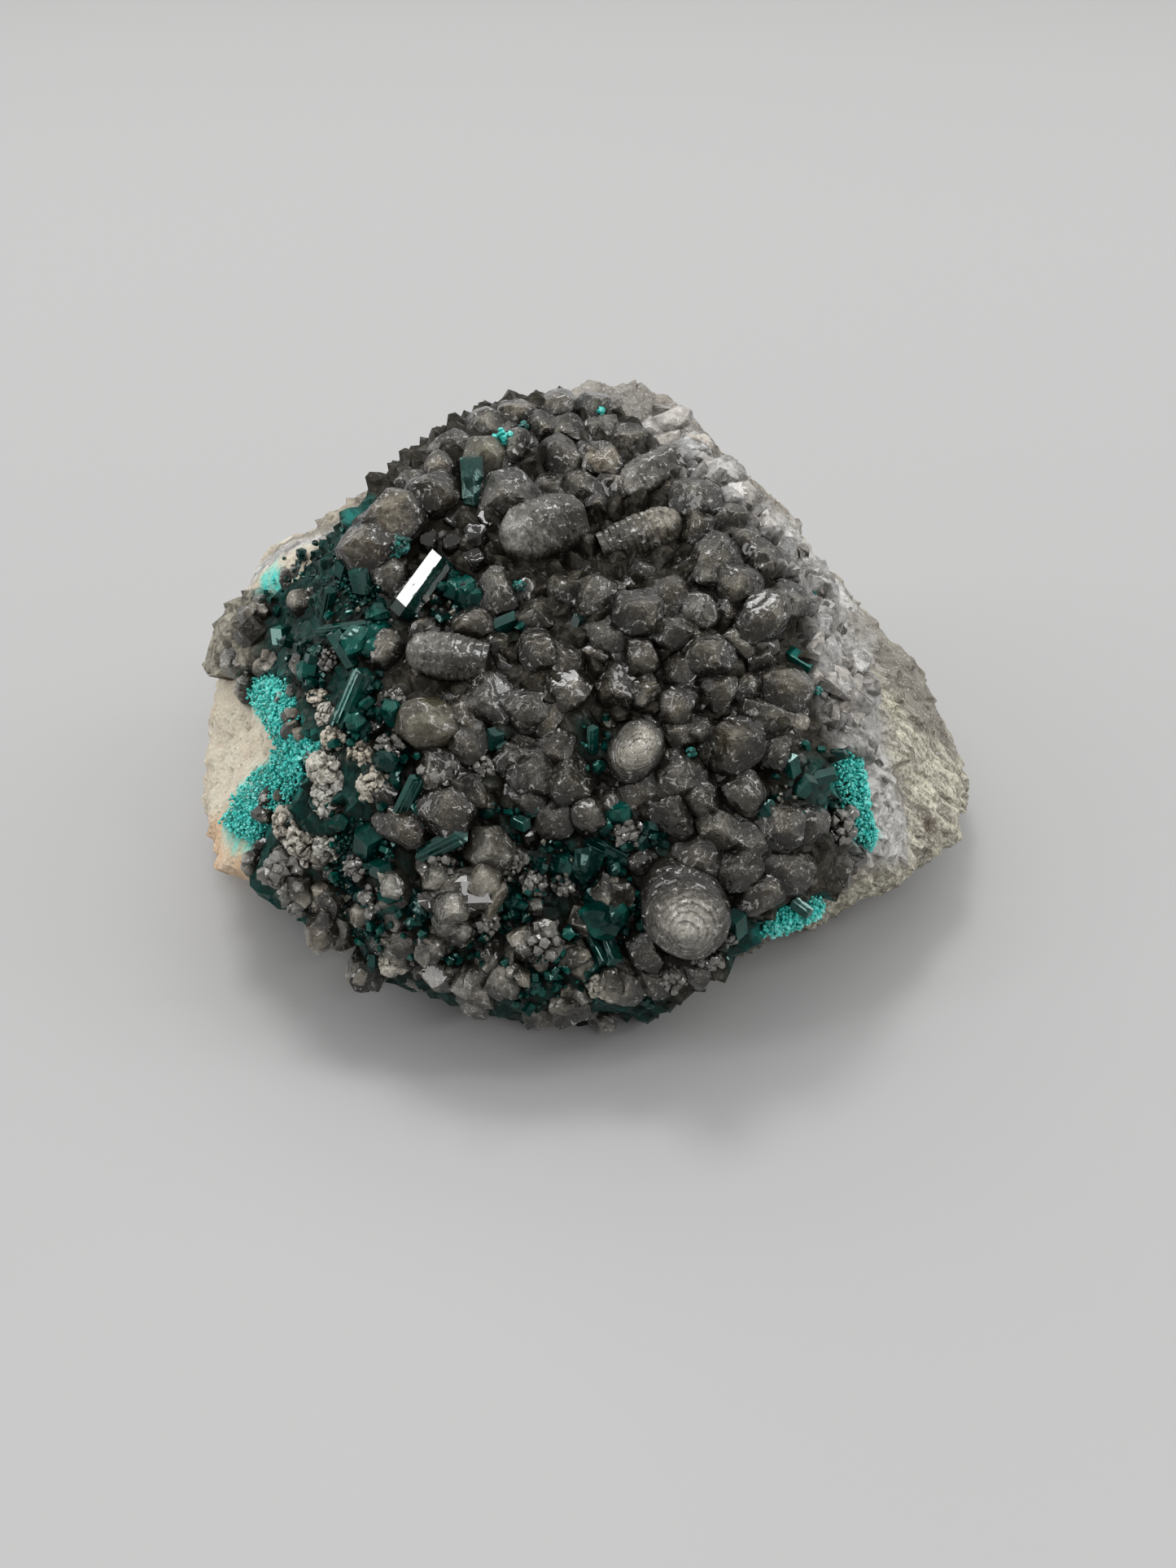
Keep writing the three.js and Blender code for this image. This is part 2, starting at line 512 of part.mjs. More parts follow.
const dioptaseSolids = {};
const sockets = [];
for (const [name, crystals] of Object.entries(DIOPTASES)) {
  dioptaseSolids[name] = unionOf(crystals.map((crystal) => dioptaseSolid(crystal, 0)));
  sockets.push(...crystals.map((crystal) => dioptaseSolid(crystal, GAP)));
}
const socket = unionOf(sockets);

const druseTop = lumpSolid(GAP + DRUSE);
const bedTop = lumpSolid(GAP + DRUSE + GAP);
const druseSolids = {};
const druseBeds = [];
for (const [name, edge] of Object.entries(DRUSE_EDGES)) {
  druseSolids[name] = druseTop.intersect(druseCone(edge, 0));
  druseBeds.push(bedTop.intersect(druseCone(edge, GAP)));
}

const crustCone = sightCone(CRUST_EDGE, MARCH_START, EYE_OFFSET.length());
const coat = lumpSolid(GAP + COAT).intersect(crustCone).trimByPlane([0, -1, 0], -CRUST_BACK);
const crust = unionOf([coat, ...CALCITES.map(standingCalcite), ...LYING_CALCITES.map(lyingCalcite)])
  .subtract(unionOf([skin, socket, ...druseBeds]))
  .intersect(ground);

// The scene
function pieceOf(name, solid, material) {
  const { vertProperties, triVerts } = largestOf(solid).getMesh();
  const geometry = new THREE.BufferGeometry();
  geometry.setAttribute("position", new THREE.BufferAttribute(vertProperties, 3));
  geometry.setIndex(new THREE.BufferAttribute(triVerts, 1));
  geometry.computeVertexNormals();
  const piece = new THREE.Mesh(geometry, material);
  piece.name = name;
  return piece;
}

const specimen = new THREE.Group();
specimen.add(pieceOf("host_rock", lump, MATERIALS.rock));
specimen.add(pieceOf("calcite_crust", crust, MATERIALS.calcite));
for (const [name, solid] of Object.entries(druseSolids)) {
  specimen.add(pieceOf(name, solid.subtract(unionOf([skin, socket])).intersect(ground), MATERIALS.druse));
}
for (const [name, solid] of Object.entries(dioptaseSolids)) {
  specimen.add(pieceOf(name, solid.subtract(skin).intersect(ground), MATERIALS.dioptase));
}

export default specimen;
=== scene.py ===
# A specimen of dioptase: emerald prisms and turquoise druse among smoky calcite crystals on a lump of host rock.
# Shapes are worked out in millimetres in the CAD frame and turned into metres when a mesh is made. Crystals are
# placed by sight, as in the CAD model: across and up on a plane SIGHT_DISTANCE from the eye.
import itertools
import math

import bpy
import numpy as np
from bpy.props import FloatProperty, FloatVectorProperty, IntProperty, PointerProperty
from bpy.types import Operator, Panel, PropertyGroup
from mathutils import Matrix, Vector


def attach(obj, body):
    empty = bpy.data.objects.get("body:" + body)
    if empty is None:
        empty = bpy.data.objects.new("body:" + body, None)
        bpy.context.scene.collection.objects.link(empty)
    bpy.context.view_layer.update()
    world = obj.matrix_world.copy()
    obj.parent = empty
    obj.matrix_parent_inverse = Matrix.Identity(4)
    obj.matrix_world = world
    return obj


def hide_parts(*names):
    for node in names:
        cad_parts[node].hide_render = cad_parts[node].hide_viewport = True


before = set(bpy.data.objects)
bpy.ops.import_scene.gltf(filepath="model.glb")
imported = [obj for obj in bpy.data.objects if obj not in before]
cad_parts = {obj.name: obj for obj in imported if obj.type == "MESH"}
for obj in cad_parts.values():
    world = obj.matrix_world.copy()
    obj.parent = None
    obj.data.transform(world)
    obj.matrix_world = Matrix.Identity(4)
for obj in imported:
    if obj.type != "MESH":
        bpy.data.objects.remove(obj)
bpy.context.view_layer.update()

bl_info = {
    "name": "Dioptase specimen",
    "version": (1, 0, 0),
    "blender": (4, 5, 0),
    "location": "3D View > Sidebar > Specimen",
    "description": "Builds a dioptase and calcite specimen on its host rock",
    "category": "Add Mesh",
}

MM = 0.001  # metres in a millimetre
PHOTO_WIDTH = 1445  # pixels
PHOTO_HEIGHT = 1927  # pixels
GOLDEN_ANGLE = math.pi * (3 - math.sqrt(5))

# Sizes shared with the CAD model
LUMP_CENTRE = np.array((0.0, -0.5, 22.0))
EYE_OFFSET = np.array((0.0, -118.0, 84.4))
EYE = LUMP_CENTRE + EYE_OFFSET
SIGHT_PITCH = math.radians(40.58)
SIGHT_DISTANCE = 147.5
GAP = 0.3
ROUNDING = 26
OUTLINE_SPREAD = 1.03
COAT = 0.9
DRUSE = 1.0
RIPPLES = ((27, 0.7), (13, 0.5), (7, 0.3))
RIPPLE_WAVES = 9
CALCITE_MIDDLE = 0.8
EYE_LEAN = 0.35
MAIN_PANEL = np.array((-200.0, 450.0, 1100.0))
CAP_SLOPE = 0.75
LEAST_SEEN = 0.6

SIGHT_RIGHT = np.array((1.0, 0.0, 0.0))
SIGHT_LOOK = np.array((0.0, math.cos(SIGHT_PITCH), -math.sin(SIGHT_PITCH)))
SIGHT_UP = np.array((0.0, math.sin(SIGHT_PITCH), math.cos(SIGHT_PITCH)))

# Broken faces of the lump: azimuth, elevation and distance from its centre
BROKEN_FACES = (
    (-90, 12, 38.5), (-88, 36, 25.5), (-92, 54, 20.5), (-95, 67, 20.0), (-70, 76, 23.5),
    (88, 58, 36.0), (84, 16, 38.5), (108, -4, 41.0), (60, -6, 41.5),
    (178, 8, 46.6), (138, 50, 32.0), (146, 12, 43.5), (-158, 40, 31.0), (-128, 28, 33.5),
    (-8, 41, 27.8), (-42, 36, 29.0), (38, 38, 36.0), (40, 6, 43.5), (12, 15, 48.8),
    (-90, -38, 42.5), (-140, -35, 44.0), (-35, -35, 46.0), (10, -35, 52.0), (140, -24, 46.0),
)

# Outline of the lump by sight
OUTLINE = (
    (-49.8, -1), (-45.6, 22), (-39.8, 27.4), (4.5, 51.5), (9, 50.8), (42.4, 13.2),
    (55, -1.8), (41, -10.2), (6.5, -27.4), (-5, -26.8), (-30, -17.4), (-48.6, -6),
)

# Edge of the calcite crust by sight
CRUST_EDGE = (
    (2, 46.5), (9, 42), (19, 33.5), (27.5, 25), (29, 15), (34, -1), (35, -5), (34.5, -8.5), (28.5, -15.5),
    (20, -20.5), (15, -23.5), (7, -29.5), (0, -33), (-16, -31), (-28, -29), (-36, -23), (-41.5, -11), (-43, -6),
    (-38.5, -0.5), (-36.5, 2), (-38.5, 8), (-40, 11), (-48, 13), (-50, 17), (-46, 21.5), (-40, 25), (-31.5, 30.5),
    (-24.5, 38), (-15, 45), (-5, 48),
)

FLANK_RUN = (0.76, -0.25, -0.60)  # way that the streaks of the right flank run

# Turquoise druse by sight
DRUSE_EDGES = {
    "druse_left_band": (
        (-41.5, 11.8), (-39, 13.2), (-36.8, 12.2), (-35, 9.8), (-35.2, 7), (-33, 6.4), (-32.2, 4.6), (-33.6, 2.4),
        (-35.8, 0.4), (-36.2, -1.6), (-38, -2.9), (-40, -4.2), (-40.4, -7.8), (-42, -6.4), (-44.6, -5), (-42.8, -2.4),
        (-40.6, -0.8), (-38, 1), (-36.8, 3), (-37.2, 5), (-38.6, 7), (-38.9, 9.8), (-41.2, 10.8),
    ),
    "druse_upper_left": (
        (-38.2, 24.6), (-36, 26.4), (-33, 27.9), (-30.6, 30.4), (-26.4, 33.6), (-25.6, 32), (-28.4, 28), (-25.4, 26),
        (-25.2, 22), (-28, 20.6), (-31, 19.6), (-33, 20.6), (-34, 24.6),
    ),
    "druse_right": (
        (30.4, 2.6), (31.6, 3.3), (32.9, 4.4), (33.6, 1.6), (34.2, -1.4), (34.6, -4.4), (35.4, -6), (34.8, -7.6),
        (33.2, -6.2), (32.6, -3.6), (31.8, -1), (31.4, 1),
    ),
    "druse_lower_right": (
        (23, -15.6), (25, -14.6), (27, -14.2), (28.9, -14.8), (28.2, -16.2), (25.8, -17.2), (23.8, -18), (21, -18.6),
        (21.4, -16.6),
    ),
    "druse_lower_left": (
        (-30, -3), (-27, -3), (-25.2, -5.4), (-24, -9), (-24.4, -11.6), (-27, -12), (-30, -12.6), (-32.4, -11.4),
        (-31, -9), (-30.2, -6),
    ),
    "druse_foot": ((6, -26.6), (9, -26.9), (11.4, -26), (10.8, -27.6), (8.6, -28.8), (6, -28.4)),
}

# Where finer turquoise grains spread past the patches, by sight
PASTE_EDGES = (
    ((-42, 12.5), (-38, 13.6), (-35.5, 12.5), (-34, 9), (-34, 6.5), (-31.8, 5.5), (-31.6, 3), (-34, 0), (-35.5, -3),
     (-38, -4), (-40, -8.6), (-42.5, -7), (-45, -5), (-43.5, -1.5), (-40.8, 1.5), (-38.6, 3), (-38.4, 5), (-39.6, 7.5),
     (-41.5, 9.5)),
    ((29.4, 4), (31.6, 5.2), (33.4, 3.4), (34, -2), (35.2, -6), (34.4, -8.6), (31.8, -7), (30.6, -3), (29.6, 0)),
    ((22.6, -14.2), (25, -13.2), (28, -13), (28.8, -15), (26.6, -17.2), (23, -18.4), (20.2, -17.6)),
    ((-28, 31.4), (-25.6, 33.8), (-24.8, 33), (-26.8, 30.4)),
    ((-38.8, 23.4), (-38.4, 25), (-36.4, 26.2), (-35.6, 25), (-37, 23.4)),
)

# Where dioptase grains line the hollows between the calcites, by sight
GREEN_HOLLOWS = (
    ((-38, 13), (-38.5, 24), (-36, 26.5), (-30.5, 31), (-26, 30), (-25, 24), (-24, 17), (-24.6, 6), (-29, 4), (-33, 6),
     (-33, 12)),
    ((-25, 19.6), (-17, 19), (-8, 17.6), (-8, 20.6), (-13, 23), (-16.4, 26), (-17.4, 23), (-25, 21.6)),
    ((-25, 5), (-25, -4), (-21, -11), (-13, -9.4), (-6, -7), (-4, -8), (2, -10.5), (9, -8.6), (9, -3.6), (2, -4.6),
     (-5, -2.4), (-10, -1.6), (-15, -3), (-20, 5)),
    ((-31.5, -13), (-31.5, -2.6), (-24.6, -2), (-22.6, -8), (-23, -13.4)),
    ((-35, -12.6), (-36.4, -16.6), (-28, -20), (-20, -21), (-15.6, -22), (-16.6, -17), (-24, -13)),
    ((-16, -15), (-8, -9), (0, -8), (6, -9), (7.2, -12), (7, -21), (10, -26.4), (4, -28.4), (-8, -28), (-14, -24)),
    ((21.4, -4), (23.6, 4), (28, 3.8), (31, 3.8), (34.4, 0), (34.6, -5.6), (30, -4.6)),
    ((16, -15), (18, -14.2), (22, -17), (28.6, -15), (24, -19.4), (19, -21.6), (15.6, -20.6)),
    ((-14, 8), (-9, 7), (-8, 3), (-10, 2), (-14, 3.6)),
    ((-1.2, 8.4), (2.4, 8.4), (2, 1.6), (-0.8, 2)),
)

# Standing calcites: across and up by sight, half-width there, and height in half-widths
CALCITES = (
    (-19.4, 36.2, 2.6, 1.0), (-24.2, 33.0, 2.9, 1.0), (-9.2, 35.6, 2.9, 1.1),
    (-4.0, 40.2, 2.1, 1.1), (2.0, 39.8, 2.1, 1.0), (-2.2, 43.7, 2.0, 0.9), (-8.6, 41.6, 2.0, 1.0),
    (-0.8, 36.4, 2.0, 1.0), (-18.8, 39.2, 1.9, 1.0), (-5.6, 44.2, 1.8, 0.9), (1.6, 43.6, 1.8, 0.8),
    (-4.4, 36.2, 1.8, 1.0), (9.8, 39.4, 1.7, 0.8),
    (13.8, 31.0, 2.1, 1.1), (15.7, 27.6, 2.5, 1.1), (13.3, 35.5, 2.5, 1.0), (18.7, 25.0, 2.3, 1.2),
    (25.0, 22.8, 2.2, 0.9), (21.6, 20.4, 2.5, 1.1), (14.8, 15.4, 2.3, 1.2), (24.7, 11.6, 2.5, 1.0),
    (16.0, 11.4, 2.0, 1.1), (18.6, 4.4, 2.8, 1.1), (22.0, 28.2, 1.9, 1.0),
    (17.2, 33.0, 1.9, 0.9), (24.6, 26.2, 1.7, 0.8), (19.4, 30.4, 1.8, 0.9), (17.2, 21.2, 1.5, 1.1),
    (18.6, 17.4, 1.7, 1.1), (21.4, 15.0, 1.5, 1.1), (19.4, 11.4, 1.7, 1.1), (22.8, 3.6, 1.7, 1.0),
    (-14.4, 20.2, 2.0, 1.2), (-6.4, 20.6, 2.0, 1.0), (2.2, 18.0, 2.0, 1.1), (-2.4, 24.0, 2.1, 1.0),
    (-7.6, 9.2, 2.2, 1.0), (11.2, 10.2, 2.1, 1.1), (3.6, 12.2, 2.1, 1.1),
    (-11.0, 22.8, 2.1, 1.2), (-6.0, 16.6, 2.2, 1.1), (1.0, 23.2, 2.2, 1.1), (5.7, 21.4, 2.3, 1.2),
    (10.2, 23.4, 2.1, 1.2), (13.8, 21.4, 2.1, 1.4), (10.8, 19.0, 2.1, 1.1), (-2.2, 11.6, 2.0, 1.1),
    (-12.2, 10.4, 2.4, 1.1), (-14.8, 5.4, 2.0, 1.0), (-14.2, 24.0, 1.4, 1.3), (-2.6, 15.4, 1.8, 1.1),
    (-4.8, 8.4, 1.8, 1.0), (11.6, 13.8, 1.8, 1.2), (7.0, 15.6, 1.8, 1.2), (7.0, 11.4, 1.7, 1.1),
    (14.0, 6.8, 1.5, 1.0), (11.2, 5.8, 1.7, 1.0),
    (11.4, 1.0, 2.3, 1.1), (14.6, -1.2, 2.0, 1.1), (19.4, -1.0, 2.2, 1.1), (9.8, -3.4, 2.2, 1.1),
    (20.4, -7.0, 2.0, 1.1), (24.0, -6.2, 2.5, 1.1), (27.8, -4.6, 2.0, 1.0),
    (18.8, -10.4, 2.1, 1.0), (25.0, -11.2, 2.3, 1.0), (21.4, -13.4, 2.3, 0.9), (14.2, -9.4, 2.1, 0.9),
    (7.0, -20.6, 2.0, 1.0), (6.4, -1.4, 1.9, 1.0),
    (-2.4, 0.2, 2.5, 1.2), (-6.6, 1.4, 2.2, 1.1), (-4.0, 4.4, 2.0, 1.0), (-4.0, -4.4, 2.1, 1.0),
    (-14.4, -0.4, 2.0, 1.0), (-7.4, -20.0, 2.0, 1.1), (-17.2, -3.2, 2.4, 1.0), (-18.2, 2.0, 2.3, 1.1),
    (-15.0, 8.0, 2.2, 1.0), (-22.6, -5.4, 2.3, 1.0), (-13.8, -13.8, 2.9, 1.1), (-18.4, -14.8, 2.5, 1.1),
    (-15.2, -18.0, 2.4, 1.2), (-19.0, -11.0, 2.0, 1.2), (2.4, -13.0, 2.2, 1.3), (-1.8, -21.6, 2.2, 1.2),
    (-24.0, -13.2, 2.2, 1.1), (-9.0, 3.2, 1.9, 1.0), (-7.2, -1.4, 1.8, 0.9), (0.2, -3.6, 1.8, 1.2),
    (3.2, -3.0, 1.6, 1.0), (-4.8, -19.6, 1.8, 1.2), (-0.6, -16.8, 1.7, 1.1), (-7.4, -15.0, 1.5, 1.0),
    (-12.4, -21.2, 1.8, 0.9), (-23.6, -16.4, 1.7, 1.1),
    (4.4, -25.2, 2.3, 0.9), (-1.6, -27.4, 2.6, 0.8), (-9.4, -24.2, 2.5, 0.7), (-24.0, -21.4, 2.4, 0.9),
    (-19.6, -21.0, 2.0, 0.8), (-31.2, -18.8, 2.4, 0.9), (-32.0, -14.8, 2.1, 1.1), (7.8, -24.6, 1.7, 0.9),
    (-35.6, -13.6, 1.9, 0.9), (-28.0, -17.2, 1.9, 0.9), (-13.0, -26.4, 2.6, 0.8), (-17.4, -24.4, 2.3, 0.9),
    (-5.6, -28.8, 2.2, 0.7), (1.6, -28.6, 1.9, 0.8), (-21.4, -25.2, 2.2, 0.7), (-27.6, -24.2, 2.2, 0.7),
    (-36.6, 15.0, 2.1, 1.2), (-35.2, 21.6, 2.2, 1.0), (-41.2, 20.4, 2.4, 0.6), (-24.0, 25.6, 2.0, 0.9),
    (-27.4, 29.2, 2.6, 1.1), (-43.0, 14.8, 1.9, 0.6), (-39.8, 15.6, 1.8, 0.8), (-24.6, 16.8, 1.8, 1.0),
    (-20.6, 37.6, 1.7, 0.8), (-17.4, 41.8, 2.2, 0.8), (-13.2, 44.8, 2.1, 0.8), (-9.0, 46.4, 1.9, 0.8),
    (-4.2, 46.8, 1.9, 0.8), (0.6, 46.2, 1.7, 0.8), (-25.4, 32.6, 1.5, 0.9), (4.8, 42.4, 1.9, 0.9),
)

# Calcites of a kind of their own: as above, then how far the axis dips down the face in degrees, and the kind
SPECIAL_CALCITES = (
    (5.9, 4.2, 3.1, 1.4, 4, "terraced"),
    (11.8, -17.4, 4.6, 1.35, 14, "terraced"),
    (-19.8, 7.4, 3.0, 1.1, 0, "clear"), (-12.9, 40.9, 2.4, 1.0, 0, "clear"),
    (16.2, -5.6, 2.2, 1.1, 0, "blocky"), (-12.2, -8.2, 2.6, 1.2, 0, "blocky"),
    (-16.2, 31.8, 1.3, 1.3, 0, "glassy"), (-16.6, 29.2, 1.3, 1.3, 0, "glassy"), (-14.0, 30.2, 1.5, 1.4, 0, "glassy"),
    (-12.4, 32.2, 1.3, 1.2, 0, "glassy"), (-19.2, 29.6, 1.2, 1.2, 0, "glassy"), (-14.0, 27.4, 1.5, 1.1, 0, "glassy"),
    (-4.8, 31.4, 1.1, 1.2, 0, "glassy"), (22.7, 16.3, 0.9, 1.6, 0, "glassy"), (-25.2, 9.6, 1.2, 1.1, 0, "glassy"),
    (-25.6, 6.8, 1.2, 1.1, 0, "glassy"), (-6.9, -7.2, 1.3, 1.6, 0, "glassy"),
)

# Lying calcites: the foot and the tip by sight, half-width, and how far the tip stands off the lump in mm
LYING_CALCITES = (
    ((-1.6, 31.0), (-10.6, 28.4), 3.4, 2.2),
    ((10.6, 38.4), (4.0, 34.6), 2.4, 1.4),
    ((2.0, 27.4), (11.6, 31.4), 2.5, 1.8),
    ((-12.0, 14.4), (-22.2, 15.8), 2.6, 1.4),
    ((18.4, 9.2), (26.2, 6.4), 1.7, 1.2),
)

# Pale knobbly calcite: across and up by sight, and half-width
POPCORN = (
    (-32.4, 2.0, 2.3), (-32.4, -1.8, 2.2), (-30.2, 0.4, 1.8), (-26.4, -0.2, 2.2), (-28.2, 3.6, 1.6),
    (-37.2, -4.8, 2.3), (-35.6, -7.6, 2.3), (-31.4, 5.8, 1.6), (-33.6, 10.8, 1.5), (-32.6, 8.6, 1.4),
    (-32.0, -8.0, 1.9), (-30.8, -19.0, 2.4), (-23.8, -21.8, 2.3), (-33.0, -15.2, 1.8), (-18.6, -19.6, 1.9),
    (-18.2, -11.0, 2.0), (-19.4, 0.8, 2.0), (-1.6, -28.2, 2.2), (6.6, -24.8, 1.8), (1.6, -25.4, 1.8),
)

# Where pale spar lies along the right border of the crust, by sight
SPAR_EDGE = (
    (8, 43.6), (13, 38.5), (19, 32.6), (24.5, 27), (26.6, 22), (27.6, 16), (28, 10), (29.6, 5.4), (34.4, 4.6),
    (35, 12), (31.4, 20), (28, 27), (21.4, 35), (14, 42.4), (9.4, 46),
)

# Small turquoise and green spots: across and up by sight, half-width, and material
SPOTS = (
    (-10.5, 42.6, 1.3, "Turquoise druse"), (1.6, 45.9, 0.3, "Turquoise druse"), (-8.0, 44.3, 0.4, "Teal druse"),
    (-23.4, 29.0, 1.1, "Teal druse"), (-26.8, 31.8, 0.9, "Turquoise druse"), (28.4, 11.6, 0.4, "Teal druse"),
    (-8.5, 24.2, 0.6, "Teal druse"), (12.6, 3.8, 0.5, "Teal druse"),
)

# Clusters of clear crystals that point every way: across and up by sight, half-width, and size of a crystal in mm
CLUSTERS = (
    (-18.2, 1.4, 2.5, 0.55), (-20.6, -0.4, 1.1, 0.4), (-18.2, -10.6, 2.0, 0.5), (-13.0, 1.8, 1.4, 0.4),
    (4.8, -5.8, 1.6, 0.5), (31.0, -5.4, 1.9, 0.6), (-5.4, -19.4, 2.0, 0.6), (-24.4, 4.8, 1.5, 0.4),
    (-37.8, -10.4, 1.9, 0.8), (-35.6, -14.4, 1.9, 0.7), (-28.4, -10.4, 1.6, 0.4), (-21.4, 23.2, 2.4, 0.4),
    (-31.8, 15.4, 1.4, 0.35), (-23.6, 10.4, 1.2, 0.35), (-9.4, -9.4, 1.4, 0.45), (-12.6, -16.6, 1.7, 0.5),
    (-16.4, -7.0, 1.0, 0.35), (-6.8, -12.4, 1.5, 0.4), (1.4, -15.2, 1.2, 0.4), (-3.0, -12.4, 1.2, 0.35),
    (14.6, -21.4, 1.6, 0.5), (17.2, -18.8, 1.0, 0.4), (10.6, -24.4, 1.4, 0.45), (-26.6, -14.4, 1.6, 0.5),
)

# Dioptase by sight: centre across and up, length, width and heading in degrees; then pitch out of the lump, lift
# of the middle, and how many parallel blades the crystal is made of
DIOPTASES = {
    "dioptase_bright_prism": ((-20.6, 24.2, 8.6, 3.5, 51, 6, 2.6, 1),),
    "dioptase_upper_prism": ((-14.0, 36.8, 5.6, 3.2, 96, 24, 2.0, 1),),
    "dioptase_shoulder_block": ((-23.2, 29.4, 3.2, 2.6, 62, 20, 2.0, 1),),
    "dioptase_left_prism": ((-29.2, 10.4, 8.4, 3.3, 63, 8, 2.0, 5),),
    "dioptase_left_upright": ((-30.3, 16.2, 4.8, 2.1, 112, 20, 1.8, 1),),
    "dioptase_left_blade": ((-32.2, 22.0, 5.0, 1.9, 60, 18, 1.8, 2),),
    "dioptase_left_bundle": ((-30.0, 18.9, 7.4, 1.7, 4, 4, 1.3, 5),),
    "dioptase_far_left_block": ((-37.4, 17.8, 3.4, 3.0, 80, 20, 1.4, 1),),
    "dioptase_dark_group": ((-28.0, 24.8, 3.6, 2.8, 100, 30, 1.4, 1), (-30.4, 26.2, 3.0, 2.4, 50, 30, 1.4, 1)),
    "dioptase_middle_prism": ((-22.2, -1.8, 7.0, 2.5, 61, 12, 2.2, 3),),
    "dioptase_striped_prism": ((-18.0, -7.6, 7.4, 2.6, 28, 8, 2.0, 5),),
    "dioptase_glinting_group": ((-8.3, -4.7, 3.0, 2.1, -20, 24, 1.8, 1), (-6.6, -3.2, 2.8, 2.0, 20, 20, 1.5, 1)),
    "dioptase_shaded_block": ((-12.4, -2.9, 3.0, 2.2, 80, 24, 1.3, 1),),
    "dioptase_right_block": ((7.7, -5.3, 2.6, 2.3, 35, 30, 1.8, 1), (6.6, -7.2, 2.4, 2.0, 100, 30, 1.4, 1)),
    "dioptase_long_flat_prism": ((2.6, -8.0, 7.0, 2.2, -26, 4, 1.4, 3),),
    "dioptase_foot_blade": ((1.0, -20.2, 4.6, 1.3, -62, 14, 1.6, 1), (2.8, -20.6, 4.2, 2.4, -70, 24, 1.3, 1)),
    "dioptase_centre_group": ((-11.6, 5.6, 3.4, 2.6, 70, 26, 1.5, 1), (-10.2, 4.2, 2.6, 2.2, 110, 26, 1.3, 1)),
    "dioptase_dark_lens": ((-10.3, 19.6, 4.0, 2.6, 18, 8, 1.2, 1),),
    "dioptase_small_glint": ((-1.2, 19.8, 2.8, 2.3, 60, 30, 1.6, 1),),
    "dioptase_hollow_group": ((0.6, 5.4, 4.0, 1.9, 92, 16, 1.3, 2),),
    "dioptase_rim_prism": ((25.8, 15.3, 4.2, 2.7, -36, 6, 1.5, 1),),
    "dioptase_rim_sliver": ((27.3, 22.3, 2.8, 1.5, 88, 8, 1.2, 1),),
    "dioptase_right_hollow_group": (
        (25.0, 2.2, 3.6, 2.6, 110, 24, 1.3, 1), (26.8, -0.6, 3.4, 2.4, 60, 24, 1.3, 1),
        (28.8, 0.8, 2.8, 2.2, 20, 24, 1.2, 1),
    ),
    "dioptase_lower_right_block": ((18.2, -17.0, 4.4, 3.2, 100, 18, 1.4, 1),),
    "dioptase_lower_right_glassy": ((26.2, -15.0, 3.2, 1.9, -40, 14, 1.5, 1),),
    "dioptase_lower_left_body": ((-27.0, -7.0, 4.8, 4.0, 70, 28, 1.5, 1), (-25.4, -10.6, 3.4, 2.8, -20, 20, 1.4, 1)),
    "dioptase_lower_left_flake": ((-30.4, -4.7, 2.8, 2.4, 10, 24, 1.5, 1),),
}


# Numbers and noise
def smooth_step(low, high, value):
    """0 below low and 1 above high, with a cubic between them."""
    share = np.clip((value - low) / (high - low), 0, 1)
    return share * share * (3 - 2 * share)


def unit(vectors):
    """Each vector divided by its length."""
    return vectors / np.linalg.norm(vectors, axis=-1, keepdims=True)


def cell_number(cells, seed):
    """A repeatable number from 0 to 1 for each whole-number cell, from multiplied and folded bits."""
    whole = cells.astype(np.int64).astype(np.uint64)
    bits = whole[..., 0] * np.uint64(374761393) + whole[..., 1] * np.uint64(668265263)
    bits = bits + whole[..., 2] * np.uint64(2246822519) + np.uint64(seed * 3266489917)
    bits = bits & np.uint64(0xFFFFFFFF)
    bits = ((bits ^ (bits >> np.uint64(15))) * np.uint64(2246822519)) & np.uint64(0xFFFFFFFF)
    bits = ((bits ^ (bits >> np.uint64(13))) * np.uint64(3266489917)) & np.uint64(0xFFFFFFFF)
    bits = bits ^ (bits >> np.uint64(16))
    return bits.astype(float) / 0xFFFFFFFF


def value_noise(points, size, seed):
    """Smooth noise from -1 to 1: random numbers at the corners of cubes of one size, blended with cubics."""
    scaled = points / size
    cells = np.floor(scaled)
    blend = smooth_step(0, 1, scaled - cells)
    total = np.zeros(points.shape[:-1])
    for corner in itertools.product((0, 1), repeat=3):
        weight = np.prod(np.where(corner, blend, 1 - blend), axis=-1)
        total += weight * cell_number(cells + corner, seed)
    return 2 * total - 1


def layered_noise(points, size, layers, seed):
    """Noise summed over layers, each half the size and half the height of the one before, from about -1 to 1."""
    parts = [value_noise(points, size / 2**i, seed + i) / 2**i for i in range(layers)]
    return sum(parts) / sum(1 / 2**i for i in range(layers))


